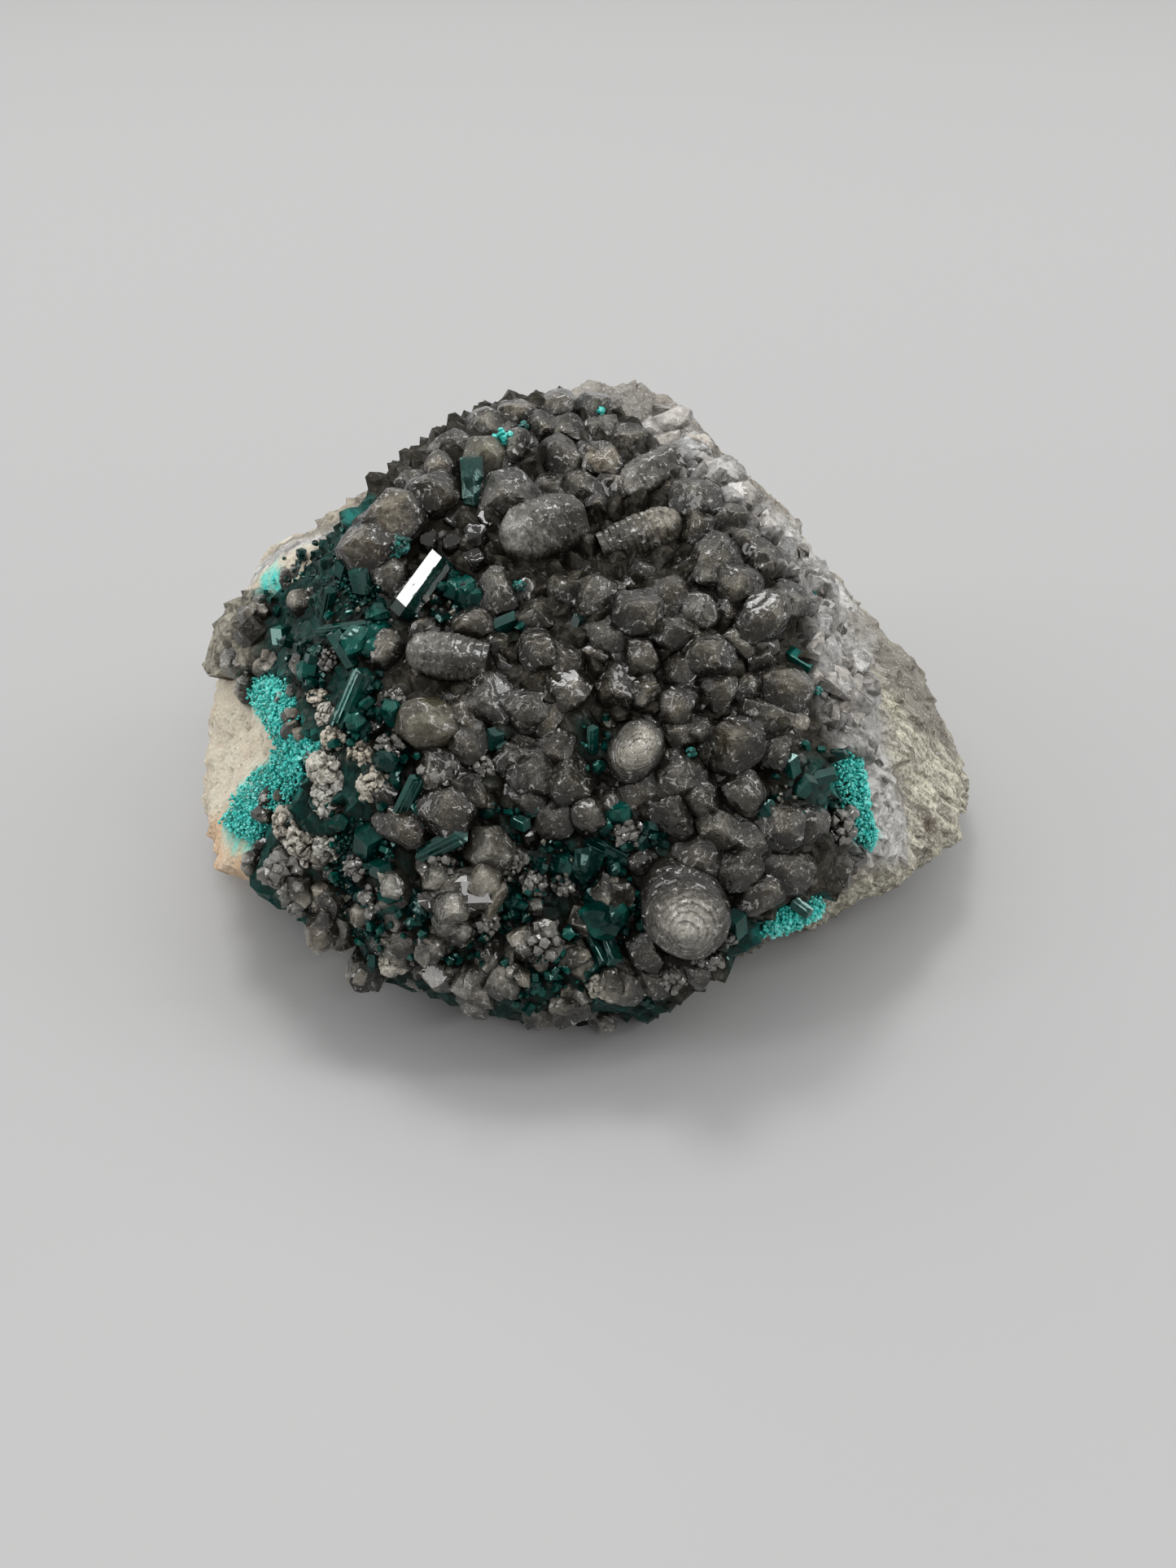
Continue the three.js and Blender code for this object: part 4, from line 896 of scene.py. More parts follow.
def calcite_material(name, tones, milk, roughness, transmission, painted_rim_shade, facet, tilt, groups, hollow=0.75,
                     climb_parts=(0.8, 1.5, 0.65)):
    """Smoky calcite: dark at the root and rim and pale at the tip, with clouds, growth arcs, facets and glints.

    The dark root, rim and crevices are painted shade, the pale tip is partly painted light, and the bright facets,
    specks and lines are painted highlights.
    """
    material, tree, shader = new_material(name)
    place = own_place(tree)
    growth = use_group(tree, groups["growth"], {"Place": place})
    facets = use_group(tree, groups["facets"], {"Place": place, "Scale": 1 / (facet * MM), "Tilt": tilt})
    clouds = noise_value(tree, place, 1.3, 6.0, 0.7, 0.5)
    # Painted shade at the root and a paler tip, partly milky calcite and partly painted light: the colour climbs from
    # deep to body to tip
    rise, cloudy, lower = climb_parts
    climb = math_value(tree, "MULTIPLY", mark_value(tree, "tip"), rise)
    climb = math_value(tree, "ADD", climb, math_value(tree, "MULTIPLY", clouds, cloudy))
    climb = math_value(tree, "SUBTRACT", climb, lower)
    shown = mixed_colour(tree, range_value(tree, climb, 0.25, 0.8), colour(tones.deep), colour(tones.body))
    top = math_value(tree, "MULTIPLY", range_value(tree, climb, 0.62, 1.15), mark_value(tree, "shade"))
    shown = mixed_colour(tree, top, shown, colour(tones.tip))
    veil = range_value(tree, noise_value(tree, place, 0.45, 4.0, 0.72, 0.8), 0.5, 0.7, 0.0, milk)
    veil = math_value(tree, "MULTIPLY", veil, range_value(tree, climb, 0.35, 0.9))
    shown = mixed_colour(tree, veil, shown, colour(tones.milk))
    hollows = range_value(tree, noise_value(tree, place, 0.5, 4.0, 0.7, 0.4), 0.48, 0.34, 0.0, hollow)
    shown = mixed_colour(tree, hollows, shown, colour(tones.deep))
    # Painted reflections: facet cells with a high random number are mixed towards the milky colour
    bright = range_value(tree, facets.outputs["Random"], 0.8, 0.95, 0.0, 0.3)
    shown = mixed_colour(tree, math_value(tree, "MULTIPLY", bright, range_value(tree, climb, 0.5, 1.0)), shown,
                         colour(tones.milk))
    # Pale lines along the growth rims, partly real rims and partly painted glints
    arcs = math_value(tree, "MULTIPLY", growth.outputs["Lines"], range_value(tree, climb, 0.3, 0.8, 0.1, 0.7))
    shown = mixed_colour(tree, arcs, shown, colour(tones.milk))
    warm = mixed_colour(tree, mark_value(tree, "hue"), (0.96, 0.98, 1.0, 1.0), colour(tones.warmth))
    shown = mixed_colour(tree, 1.0, shown, warm, "MULTIPLY")
    # Painted light and shade on the faces: each face lighter or darker by its own random number, and darker low on the
    # specimen
    faces = mixed_colour(tree, mark_value(tree, "face"), (0.68, 0.68, 0.68, 1.0), (1.25, 1.25, 1.25, 1.0))
    shown = mixed_colour(tree, 1.0, shown, faces, "MULTIPLY")
    # Painted glints: thin bright lines in the glint colour along cell borders, where the mask allows
    glint_line_mask = range_value(tree, noise_value(tree, place, 0.9, 3.0, 0.7), 0.54, 0.6, 0.0, 0.7)
    shown = mixed_colour(tree, fine_lines(tree, place, 1.2, 0.05, glint_line_mask), shown, colour(tones.glint))
    broad = range_value(tree, noise_value(tree, place, 6.0, 2.0), 0.35, 0.65, 0.25, 0.0)
    shown = mixed_colour(tree, broad, shown, colour(tones.deep))
    # Painted shade: the skin darkens towards the deep colour where it is seen edge on
    rim = range_value(tree, rim_share(tree, 0.5), 0.5, 1.0, 0.0, painted_rim_shade)
    shown = mixed_colour(tree, rim, shown, colour(tones.deep))
    # Painted glints: sparse bright specks towards the milky colour, more on the higher parts
    glint_specks = range_value(tree, noise_value(tree, place, 0.3, 3.0, 0.8), 0.58, 0.7, 0.0, 0.4)
    shown = mixed_colour(tree, math_value(tree, "MULTIPLY", glint_specks, range_value(tree, climb, 0.3, 0.9)), shown,
                         colour(tones.milk))
    # Painted shade: the colour darkens towards the deep colour in crevices
    painted_crevice_shade = range_value(tree, openness(tree, 3.2), 0.3, 0.92)
    link(tree, mixed_colour(tree, painted_crevice_shade, colour(tones.deep), shown), shader, "Base Color")
    link(tree, range_value(tree, clouds, 0.3, 0.7, roughness * 0.6, roughness * 1.6), shader, "Roughness")
    depth = 0.16 * min(1, tilt / 0.3)
    link(tree, bump(tree, growth.outputs["Steps"], depth, 0.8, facets.outputs["Normal"]), shader, "Normal")
    shader.inputs["IOR"].default_value = 1.62
    shader.inputs["Transmission Weight"].default_value = transmission
    shader.inputs["Specular IOR Level"].default_value = 0.2
    shader.inputs["Specular Tint"].default_value = (0.55, 0.55, 0.55, 1.0)
    shader.inputs["Coat Weight"].default_value = min(0.6, 2 * tilt)
    shader.inputs["Coat Roughness"].default_value = 0.03
    return material


def clear_material(name, tones, facets):
    """Clear calcite grains: see-through, with white veils and painted shade in their crevices."""
    material, tree, shader = new_material(name)
    place = own_place(tree)
    veil = noise_value(tree, place, 0.7, 3.0, 0.65)
    white = mixed_colour(tree, range_value(tree, veil, 0.42, 0.7), colour(tones.tip), colour(tones.milk))
    # Painted shade: darker towards the deep colour in crevices
    shown = mixed_colour(tree, range_value(tree, openness(tree, 1.6), 0.3, 0.9), colour(tones.deep), white)
    link(tree, shown, shader, "Base Color")
    link(tree, range_value(tree, veil, 0.35, 0.75, 0.03, 0.3), shader, "Roughness")
    sparkle = use_group(tree, facets, {"Place": place, "Scale": 2200.0, "Tilt": 0.5})
    link(tree, sparkle.outputs["Normal"], shader, "Normal")
    shader.inputs["IOR"].default_value = 1.6
    shader.inputs["Transmission Weight"].default_value = 0.8
    return material


def bed_material(tones, gem, stone, groups):
    """The dark bed between the crystals, green where dioptase lines it, with painted shade in its crevices."""
    material, tree, shader = new_material("Smoky bed")
    place = own_place(tree)
    facets = use_group(tree, groups["facets"], {"Place": place, "Scale": 1300.0, "Tilt": 0.8})
    mottle = noise_value(tree, place, 1.1, 5.0, 0.65, 0.8)
    grey = mixed_colour(tree, range_value(tree, mottle, 0.35, 0.6), colour(tones.deep), colour(tones.body))
    specks = range_value(tree, noise_value(tree, place, 0.35, 3.0, 0.8), 0.55, 0.68, 0.0, 0.3)
    grey = mixed_colour(tree, specks, grey, colour(tones.tip))
    green = mixed_colour(tree, range_value(tree, mottle, 0.42, 0.75), colour(gem.shade), colour(gem.teal))
    rubble = mixed_colour(tree, range_value(tree, mottle, 0.35, 0.7), colour(stone.grey_dark), colour(stone.cream))
    shown = mixed_colour(tree, mark_value(tree, "green"), grey, green)
    shown = mixed_colour(tree, mark_value(tree, "stone"), shown, rubble)
    pale = mixed_colour(tree, range_value(tree, mottle, 0.35, 0.6), colour(stone.spar_dark), colour(stone.spar))
    shown = mixed_colour(tree, mark_value(tree, "spar"), shown, pale)
    paste = mixed_colour(tree, range_value(tree, mottle, 0.4, 0.6), colour(gem.druse_dark), colour(gem.druse))
    shown = mixed_colour(tree, mark_value(tree, "paste"), shown, paste)
    # Painted shade: darker towards the deep colour in crevices
    link(tree, mixed_colour(tree, range_value(tree, openness(tree, 2.6), 0.5, 1.2), colour(tones.deep), shown), shader,
         "Base Color")
    gloss = range_value(tree, mark_value(tree, "stone"), 0.0, 1.0, 0.0, 0.5)
    link(tree, math_value(tree, "ADD", range_value(tree, mottle, 0.3, 0.7, 0.1, 0.35), gloss), shader, "Roughness")
    link(tree, facets.outputs["Normal"], shader, "Normal")
    shader.inputs["Specular IOR Level"].default_value = 0.1
    return material


def dioptase_material(name, gem, base, transmission, roughness, density, facets, tilt, spread, shine=0.15,
                      tint=(0.45, 0.7, 0.65, 1.0)):
    """Emerald glass: plain transmission and absorption, with clouds, small facets, a clear skin and painted shade in
    its crevices.
    """
    material, tree, shader = new_material(name)
    place = own_place(tree)
    cloud = noise_value(tree, place, 1.2, 5.0, 0.65, 0.8)
    broad = range_value(tree, noise_value(tree, place, 4.5, 2.0), 0.36, 0.62, -spread, spread)
    share = range_value(tree, math_value(tree, "ADD", cloud, broad), 0.35, 0.75)
    tinted = mixed_colour(tree, share, colour(gem.shade), colour(base))
    # Painted shade: darker towards the shade tone in crevices
    shown = mixed_colour(tree, range_value(tree, openness(tree, 2.2), 0.4, 1.0), colour(gem.shade), tinted)
    link(tree, shown, shader, "Base Color")
    link(tree, range_value(tree, cloud, 0.35, 0.75, roughness * 0.5, roughness * 2), shader, "Roughness")
    shader.inputs["Specular IOR Level"].default_value = shine
    shader.inputs["Specular Tint"].default_value = tint
    sparkle = use_group(tree, facets, {"Place": place, "Scale": 900.0, "Tilt": tilt})
    waves = bump(tree, noise_value(tree, place, 0.5, 3.0, 0.6), 0.1 * tilt, 0.6, sparkle.outputs["Normal"])
    link(tree, waves, shader, "Normal")
    shader.inputs["IOR"].default_value = 1.66
    shader.inputs["Transmission Weight"].default_value = transmission
    absorb = add_node(tree, "ShaderNodeVolumeAbsorption", {"Color": colour(gem.light), "Density": density})
    output = tree.nodes["Material Output"]
    tree.links.new(absorb.outputs["Volume"], output.inputs["Volume"])
    return material


def druse_material(name, dark_and_shade_tone, body_tone, pale_tone, facets):
    """Crust of grains, with pale tips, and painted shade that darkens its hollows."""
    material, tree, shader = new_material(name)
    place = own_place(tree)
    cloud = noise_value(tree, place, 0.7, 5.0, 0.72, 0.6)
    dark = mixed_colour(tree, range_value(tree, cloud, 0.32, 0.52), colour(dark_and_shade_tone), colour(body_tone))
    pale = mixed_colour(tree, range_value(tree, cloud, 0.5, 0.7, 0.0, 0.85), dark, colour(pale_tone))
    # Painted shade: darker towards the dark tone in hollows
    link(tree, mixed_colour(tree, range_value(tree, openness(tree, 1.2), 0.2, 0.75), colour(dark_and_shade_tone), pale), shader,
         "Base Color")
    link(tree, range_value(tree, cloud, 0.3, 0.7, 0.2, 0.6), shader, "Roughness")
    sparkle = use_group(tree, facets, {"Place": place, "Scale": 3000.0, "Tilt": 0.6})
    link(tree, sparkle.outputs["Normal"], shader, "Normal")
    shader.inputs["Coat Weight"].default_value = 0.3
    return material


def rock_material(stone, gem, grain, facets_group):
    """Host rock: sandy cream, streaked pale green flank, grey spar along the crust, brown pits and stains, and painted
    shade in its crevices.
    """
    material, tree, shader = new_material("Host rock")
    place = own_place(tree)
    stones = use_group(tree, grain, {"Place": place})
    mottle = stones.outputs["Mottle"]
    patch = range_value(tree, mottle, 0.34, 0.68)
    base = mixed_colour(tree, patch, colour(stone.grey_dark), colour(stone.grey))
    sandy = range_value(tree, mottle, 0.34, 0.64)
    cream = mixed_colour(tree, sandy, colour(stone.tan), colour(stone.cream))
    run = noise_value(tree, drawn_out(tree, place, FLANK_RUN, 0.82), 1.8, 6.0, 0.75, 0.4)
    flank = mixed_colour(tree, range_value(tree, run, 0.38, 0.6), colour(stone.flank_dark), colour(stone.flank))
    speckle = noise_value(tree, place, 0.6, 4.0, 0.85)
    flank = mixed_colour(tree, range_value(tree, speckle, 0.5, 0.42, 0.0, 0.85), flank, colour(stone.flank_dark))
    flank = mixed_colour(tree, range_value(tree, speckle, 0.55, 0.63, 0.0, 0.6), flank, colour(stone.fleck))
    tilt = range_value(tree, mark_value(tree, "spar"), 0.0, 1.0, 0.35, 1.0)
    facets = use_group(tree, facets_group, {"Place": place, "Scale": 900.0, "Tilt": tilt})
    plate = range_value(tree, facets.outputs["Random"], 0.0, 1.0, -0.16, 0.16)
    spar_share = range_value(tree, math_value(tree, "ADD", mottle, plate), 0.3, 0.66)
    spar = mixed_colour(tree, spar_share, colour(stone.spar_dark), colour(stone.spar))
    veins = fine_lines(tree, place, 2.4, 0.06, range_value(tree, mottle, 0.42, 0.56, 0.0, 0.75))
    spar = mixed_colour(tree, veins, spar, colour(stone.fleck))
    shown = mixed_colour(tree, mark_value(tree, "cream"), base, cream)
    shown = mixed_colour(tree, mark_value(tree, "flank"), shown, flank)
    shown = mixed_colour(tree, mark_value(tree, "orange"), shown, colour(stone.orange))
    shown = mixed_colour(tree, mark_value(tree, "spar"), shown, spar)
    shown = mixed_colour(tree, mark_value(tree, "pit"), shown, colour(stone.pit))
    stain = math_value(tree, "MULTIPLY", mark_value(tree, "stain"), range_value(tree, mottle, 0.35, 0.65, 0.3, 1.0))
    shown = mixed_colour(tree, stain, shown, colour(gem.druse))
    flecks = range_value(tree, cell_value(tree, place, 0.5), 0.3, 0.1, 0.0, 0.6)
    shown = mixed_colour(tree, flecks, shown, colour(stone.fleck))
    dark_grains = range_value(tree, cell_value(tree, place, 1.1), 0.2, 0.08, 0.0, 0.6)
    shown = mixed_colour(tree, dark_grains, shown, colour(stone.grey_dark))
    # Painted shade: crevices darken towards the pit colour
    shown = mixed_colour(tree, range_value(tree, openness(tree, 2.0), 0.35, 0.9, 0.6, 0.0), shown, colour(stone.pit))
    link(tree, shown, shader, "Base Color")
    spar_gloss = range_value(tree, mark_value(tree, "spar"), 0.0, 1.0, 0.8, 0.3)
    link(tree, spar_gloss, shader, "Roughness")
    link(tree, bump(tree, stones.outputs["Height"], 0.5, 1.0, facets.outputs["Normal"]), shader, "Normal")
    return material


# Settings
def tone(name, description, default):
    """A colour setting."""
    return FloatVectorProperty(name=name, description=description, subtype="COLOR", size=3, min=0, max=1, default=default)


# In every set of calcite colours below, deep is also the painted shade at the roots, on the rims and in the crevices;
# tip is partly painted light; milk also paints the reflections of bright facets and the glint specks; and glint paints
# the fine bright lines
class CalciteTones(PropertyGroup):
    deep: tone("Deep", "Calcite at its root and in the crevices", (0.011, 0.0096, 0.0072))
    body: tone("Body", "Smoky body of a calcite", (0.054, 0.048, 0.0355))
    tip: tone("Tip", "Paler end of a calcite", (0.33, 0.30, 0.235))
    milk: tone("Milk", "Milky veils and facets", (0.50, 0.475, 0.40))
    glint: tone("Glint", "Fine bright lines", (0.85, 0.84, 0.82))
    warmth: tone("Warmth", "Tint of the brownest crystals", (1.0, 0.92, 0.82))


class TerracedTones(PropertyGroup):
    deep: tone("Deep", "Terraced calcite at its root", (0.018, 0.016, 0.013))
    body: tone("Body", "Body of a terraced calcite", (0.13, 0.122, 0.105))
    tip: tone("Tip", "Pale cap of a terraced calcite", (0.92, 0.89, 0.80))
    milk: tone("Milk", "Milky veils and facets", (0.74, 0.72, 0.66))
    glint: tone("Glint", "Fine bright lines", (0.90, 0.89, 0.87))
    warmth: tone("Warmth", "Tint of the brownest crystals", (1.0, 0.92, 0.82))


class ClearTones(PropertyGroup):
    deep: tone("Deep", "Clear calcite at its root", (0.03, 0.028, 0.018))
    body: tone("Body", "Body of a clear calcite", (0.24, 0.225, 0.165))
    tip: tone("Tip", "Paler end of a clear calcite", (0.50, 0.48, 0.37))
    milk: tone("Milk", "Milky veils and facets", (0.64, 0.63, 0.55))
    glint: tone("Glint", "Fine bright lines", (0.9, 0.9, 0.86))
    warmth: tone("Warmth", "Tint of the brownest crystals", (1.0, 0.92, 0.82))


class FrostedTones(PropertyGroup):
    deep: tone("Deep", "Frosted calcite at its root", (0.03, 0.028, 0.022))
    body: tone("Body", "Body of a frosted calcite", (0.15, 0.14, 0.114))
    tip: tone("Tip", "Paler end of a frosted calcite", (0.56, 0.535, 0.465))
    milk: tone("Milk", "Milky veils and facets", (0.66, 0.64, 0.58))
    glint: tone("Glint", "Fine bright lines", (0.9, 0.89, 0.86))
    warmth: tone("Warmth", "Tint of the brownest crystals", (1.0, 0.92, 0.82))


class SparTones(PropertyGroup):
    deep: tone("Deep", "Spar in its hollows", (0.20, 0.19, 0.175))
    body: tone("Body", "Body of the spar", (0.66, 0.65, 0.63))
    tip: tone("Tip", "Paler end of the spar", (0.78, 0.77, 0.76))
    milk: tone("Milk", "Milky veils and facets", (0.74, 0.72, 0.73))
    glint: tone("Glint", "Fine bright lines", (0.92, 0.91, 0.92))
    warmth: tone("Warmth", "Tint of the brownest crystals", (1.0, 0.92, 0.82))


class MilkyTones(PropertyGroup):
    deep: tone("Deep", "Milky calcite at its root", (0.06, 0.054, 0.042))
    body: tone("Body", "Body of a milky calcite", (0.66, 0.64, 0.55))
    tip: tone("Tip", "Paler end of a milky calcite", (0.82, 0.79, 0.71))
    milk: tone("Milk", "Milky veils and facets", (0.80, 0.78, 0.74))
    glint: tone("Glint", "Fine bright lines", (0.92, 0.91, 0.89))
    warmth: tone("Warmth", "Tint of the brownest crystals", (1.0, 0.92, 0.82))


class GemTones(PropertyGroup):
    # The shade colour also serves as painted shade in the dioptase's crevices
    shade: tone("Shade", "Darkest dioptase", (0.0012, 0.034, 0.028))
    body: tone("Body", "Dioptase in the light", (0.004, 0.16, 0.125))
    bright: tone("Bright", "Dioptase in the clearest prisms", (0.005, 0.15, 0.12))
    inner: tone("Inner", "Dioptase grains in the hollows", (0.003, 0.155, 0.12))
    light: tone("Light", "Light that dioptase lets through", (0.04, 0.80, 0.62))
    teal: tone("Teal", "Teal druse", (0.003, 0.095, 0.08))
    # Painted light: the lighter body colour of the lit copy of the dioptase on the rim prisms
    painted_lit: tone("Lit", "Dioptase in thin prisms", (0.010, 0.28, 0.23))
    druse: tone("Druse", "Turquoise druse", (0.045, 0.66, 0.58))
    # The dark druse colour also serves as painted shade in the druse's hollows
    druse_dark: tone("Dark druse", "Hollows of the druse", (0.014, 0.35, 0.31))
    druse_pale: tone("Pale druse", "Tips of the druse", (0.50, 0.86, 0.80))


class StoneTones(PropertyGroup):
    grey: tone("Grey", "Weathered rock", (0.22, 0.20, 0.172))
    grey_dark: tone("Dark grey", "Weathered rock in its hollows", (0.12, 0.108, 0.092))
    cream: tone("Cream", "Sandy rock", (0.63, 0.59, 0.475))
    tan: tone("Tan", "Sandy rock in its hollows", (0.56, 0.47, 0.36))
    flank: tone("Flank", "Pale green-grey flank", (0.65, 0.625, 0.49))
    flank_dark: tone("Dark flank", "Flank in its hollows", (0.16, 0.14, 0.11))
    spar: tone("Spar", "Cleaved spar beside the crust", (0.60, 0.59, 0.57))
    spar_dark: tone("Dark spar", "Spar in its hollows", (0.21, 0.20, 0.187))
    orange: tone("Orange", "Iron-stained chunk", (0.60, 0.42, 0.27))
    # The pit colour also serves as painted shade in the rock's crevices
    pit: tone("Pit", "Brown pits", (0.10, 0.072, 0.048))
    fleck: tone("Fleck", "Bright grains", (0.72, 0.70, 0.66))


class SpecimenSettings(PropertyGroup):
    calcite: PointerProperty(type=CalciteTones, name="Calcite", description="Colours of the calcite")
    clear: PointerProperty(type=ClearTones, name="Clear calcite", description="Colours of the clear calcite")
    terraced: PointerProperty(
        type=TerracedTones, name="Terraced calcite", description="Colours of the terraced domes"
    )
    frosted: PointerProperty(
        type=FrostedTones, name="Frosted calcite", description="Colours of the frosted calcite"
    )
    spar: PointerProperty(type=SparTones, name="Spar", description="Colours of the cleaved spar")
    milky: PointerProperty(type=MilkyTones, name="Milky calcite", description="Colours of the milky calcite")
    gem: PointerProperty(type=GemTones, name="Dioptase", description="Colours of the dioptase and druse")
    stone: PointerProperty(type=StoneTones, name="Rock", description="Colours of the host rock")
    rock_relief: FloatProperty(
        name="Rock relief", description="Depth of the broken surface", default=0.0011, unit="LENGTH", min=0.0
    )
    calcite_spread: FloatProperty(
        name="Calcite spread", description="Half-width of a calcite over the half-width that is seen", default=1.46,
        min=0.5, max=2.0,
    )
    small_calcites: IntProperty(
        name="Small calcites", description="Small calcites in the gaps between the large ones", default=150, min=0
    )
    druse_grains: IntProperty(
        name="Druse grains", description="Grains on each square centimetre of druse", default=800, min=0
    )
    lens: FloatProperty(name="Lens", description="Camera focal length in mm", default=27.56, min=1.0)
    floor_width: FloatProperty(
        name="Floor width", description="Side of the floor", default=4.0, unit="LENGTH", min=0.5
    )
    floor_tone: tone("Floor", "Colour of the floor", (0.38, 0.38, 0.38))


def settings():
    """The scene's specimen settings."""
    return bpy.context.scene.specimen


# The pieces
class SPECIMEN_OT_host_rock(Operator):
    """Builds the lump of host rock with its broken faces and coloured zones"""

    bl_idname = "specimen.host_rock"
    bl_label = "Host rock"

    around = 384
    down = 200

    def execute(self, context):
        own = settings()
        ways = sphere_ways(self.around, self.down)
        radius = lump_radius(ways)
        points = LUMP_CENTRE + ways * radius[:, None]
        normals = lump_normal(points)
        facing_eye = np.einsum("ij,ij->i", lump_normal(points, 12.0), unit(EYE - points))
        facing = smooth_step(-0.12, 0.1, facing_eye)
        across, up = by_sight(points)
        crust = inside_distance(CRUST_EDGE, across, up)
        wander = layered_noise(points, 6, 3, 11)
        bare = 1 - facing * smooth_step(-1.5, 1.5, crust)
        spar = facing * smooth_step(6.5, 4.0, -crust + 2.5 * wander) * smooth_step(5, 12, across + 0.3 * up)
        spar = spar * smooth_step(-12, -8, up) * (1 - 0.75 * smooth_step(32, 38, up))
        top = smooth_step(-8, -4, across) * smooth_step(39, 43, up)
        fronting = smooth_step(-0.35, -0.1, facing_eye)
        back = smooth_step(-0.1, 0.35, normals[:, 1])
        left = smooth_step(-34, -40, across + 2 * layered_noise(points, 5, 3, 17))
        left = np.maximum(left, smooth_step(0, -4, across) * smooth_step(0.5, -1.0, crust) * smooth_step(14, 20, up))
        sandy = smooth_step(-0.5, 0.35, layered_noise(points, 14, 3, 23) + 0.7 * left + 0.2)
        ridge = np.exp(-((across + 38) / 7) ** 2 - ((up - 28) / 5) ** 2) * smooth_step(-0.7, -0.2, facing_eye)
        cream = np.maximum(np.maximum(back, left) * sandy * (1 - 0.8 * top * fronting), smooth_step(0.1, 0.4, ridge))
        flank = fronting * smooth_step(24, 29, across) * (1 - spar)
        flank = flank * smooth_step(-0.6, 0.3, layered_noise(points, 9, 4, 29) + 0.4)
        rim = inside_distance(OUTLINE, across, up) + 1.5 * wander
        # Painted shade: a band along the seen outline on the right keeps the grey base colour, where the rock turns
        # away
        outline_shade = smooth_step(5, 3, rim) * smooth_step(10, 16, across) * smooth_step(0, 5, up)
        flank = flank * (1 - 0.8 * outline_shade * fronting)
        cream = cream * (1 - 0.8 * outline_shade * fronting)
        stain = np.max([inside_distance(edge, across, up) for edge in PASTE_EDGES], axis=0)
        stain = facing * smooth_step(-1.0, 0.2, stain + 0.9 * layered_noise(points, 2.0, 3, 31))
        upper_left = smooth_step(-20, -24, across) * smooth_step(14, 18, up) * smooth_step(-0.06, 0.06, facing_eye)
        layer = smooth_step(-0.3, -0.8, crust) * smooth_step(-1.9, -1.2, crust + 0.6 * wander) * upper_left
        cream = cream * (1 - 0.85 * layer)
        spar = np.maximum(spar, smooth_step(-0.9, -0.4, crust) * smooth_step(0.6, 0.1, crust) * upper_left)
        pits = smooth_step(0.42, 0.62, layered_noise(points, 4.5, 3, 37)) * np.maximum(flank, 0.5 * cream)
        chunk = np.hypot(across + 43.5, up + 8.6) + 1.5 * wander
        orange = smooth_step(6.0, 4.0, chunk) * smooth_step(-0.2, 0.3, layered_noise(points, 4, 3, 43) + 0.1)
        facets, _ = facet_relief(points, 3.4, 41, 0.9)
        small_facets, _ = facet_relief(points, 1.5, 51, 0.9)
        rough = layered_noise(points, 7, 5, 61)
        run = unit(np.array(FLANK_RUN))
        streaks = layered_noise(points - 0.75 * (points @ run)[:, None] * run, 3.2, 4, 71)
        granular = layered_noise(points, 1.6, 2, 79)
        relief = 1.1 * rough + 0.3 * streaks + (0.5 * facets + 0.6 * small_facets) * (1 - 0.4 * spar)
        relief = relief + 0.45 * granular - 0.3 * pits - 1.0
        corner = np.exp(-((across + 43) / 3.6) ** 2 - ((up + 9.5) / 3) ** 2) * smooth_step(-0.7, -0.2, facing_eye)
        radius = radius + 2.6 * ridge + 2.4 * corner + own.rock_relief / MM * relief * bare - 0.25 * (1 - bare)
        points = LUMP_CENTRE + ways * radius[:, None]
        below = points[:, 2] < 0
        points[below] = LUMP_CENTRE - ways[below] * (LUMP_CENTRE[2] / ways[below, 2:])
        faces = outward(points, closed_rings(self.down, self.around))
        marks = {"cream": cream, "flank": flank, "spar": spar, "pit": pits, "stain": stain, "orange": orange}
        piece = make_piece("host_rock_surface", points, faces, marks, math.radians(28))
        finish_piece(piece, bpy.data.materials["Host rock"], "host_rock", "host_rock")
        return {"FINISHED"}


def standing_places(rows, spread):
    """Foot, axis, half-width and height in mm of standing calcites from their places by sight."""
    across, up, half, rise = np.array([row[:4] for row in rows], float).T
    dips = np.radians([row[4] if len(row) > 4 else 0 for row in rows])[:, None]

    def axis_of(normals, to_eye):
        return unit(calcite_axis(normals, to_eye) * np.cos(dips) - SIGHT_UP * np.sin(dips))

    points, normals, to_eye, scale = cast_under(across, up, COAT + CALCITE_MIDDLE * half * rise, axis_of)
    return points, axis_of(normals, to_eye), half * scale * spread, COAT + 1.25 * half * scale * rise


def calcite_marks(tips, seed, low=0.2, high=1.0, face=0.5):
    """Marks of a batch of crystals: the way up to the tip, how pale and how brown each one is, and its faces."""
    random = np.random.default_rng(seed)
    shade = np.repeat(random.uniform(low, high, (len(tips), 1)), tips.shape[1], axis=1)
    hue = np.repeat(random.uniform(0, 1, (len(tips), 1)), tips.shape[1], axis=1)
    return {"tip": tips, "shade": shade, "hue": hue, "face": np.broadcast_to(face, tips.shape)}


def join_batches(batches):
    """Points, faces and marks of several batches as one mesh."""
    points, faces, marks, start = [], [], {}, 0
    for batch_points, batch_faces, batch_marks in batches:
        flat = batch_points.reshape(-1, 3)
        points.append(flat)
        faces.append(batch_faces + start)
        for name, values in batch_marks.items():
            marks.setdefault(name, []).append(np.asarray(values).ravel())
        start += len(flat)
    return np.concatenate(points), np.concatenate(faces), {name: np.concatenate(part) for name, part in marks.items()}


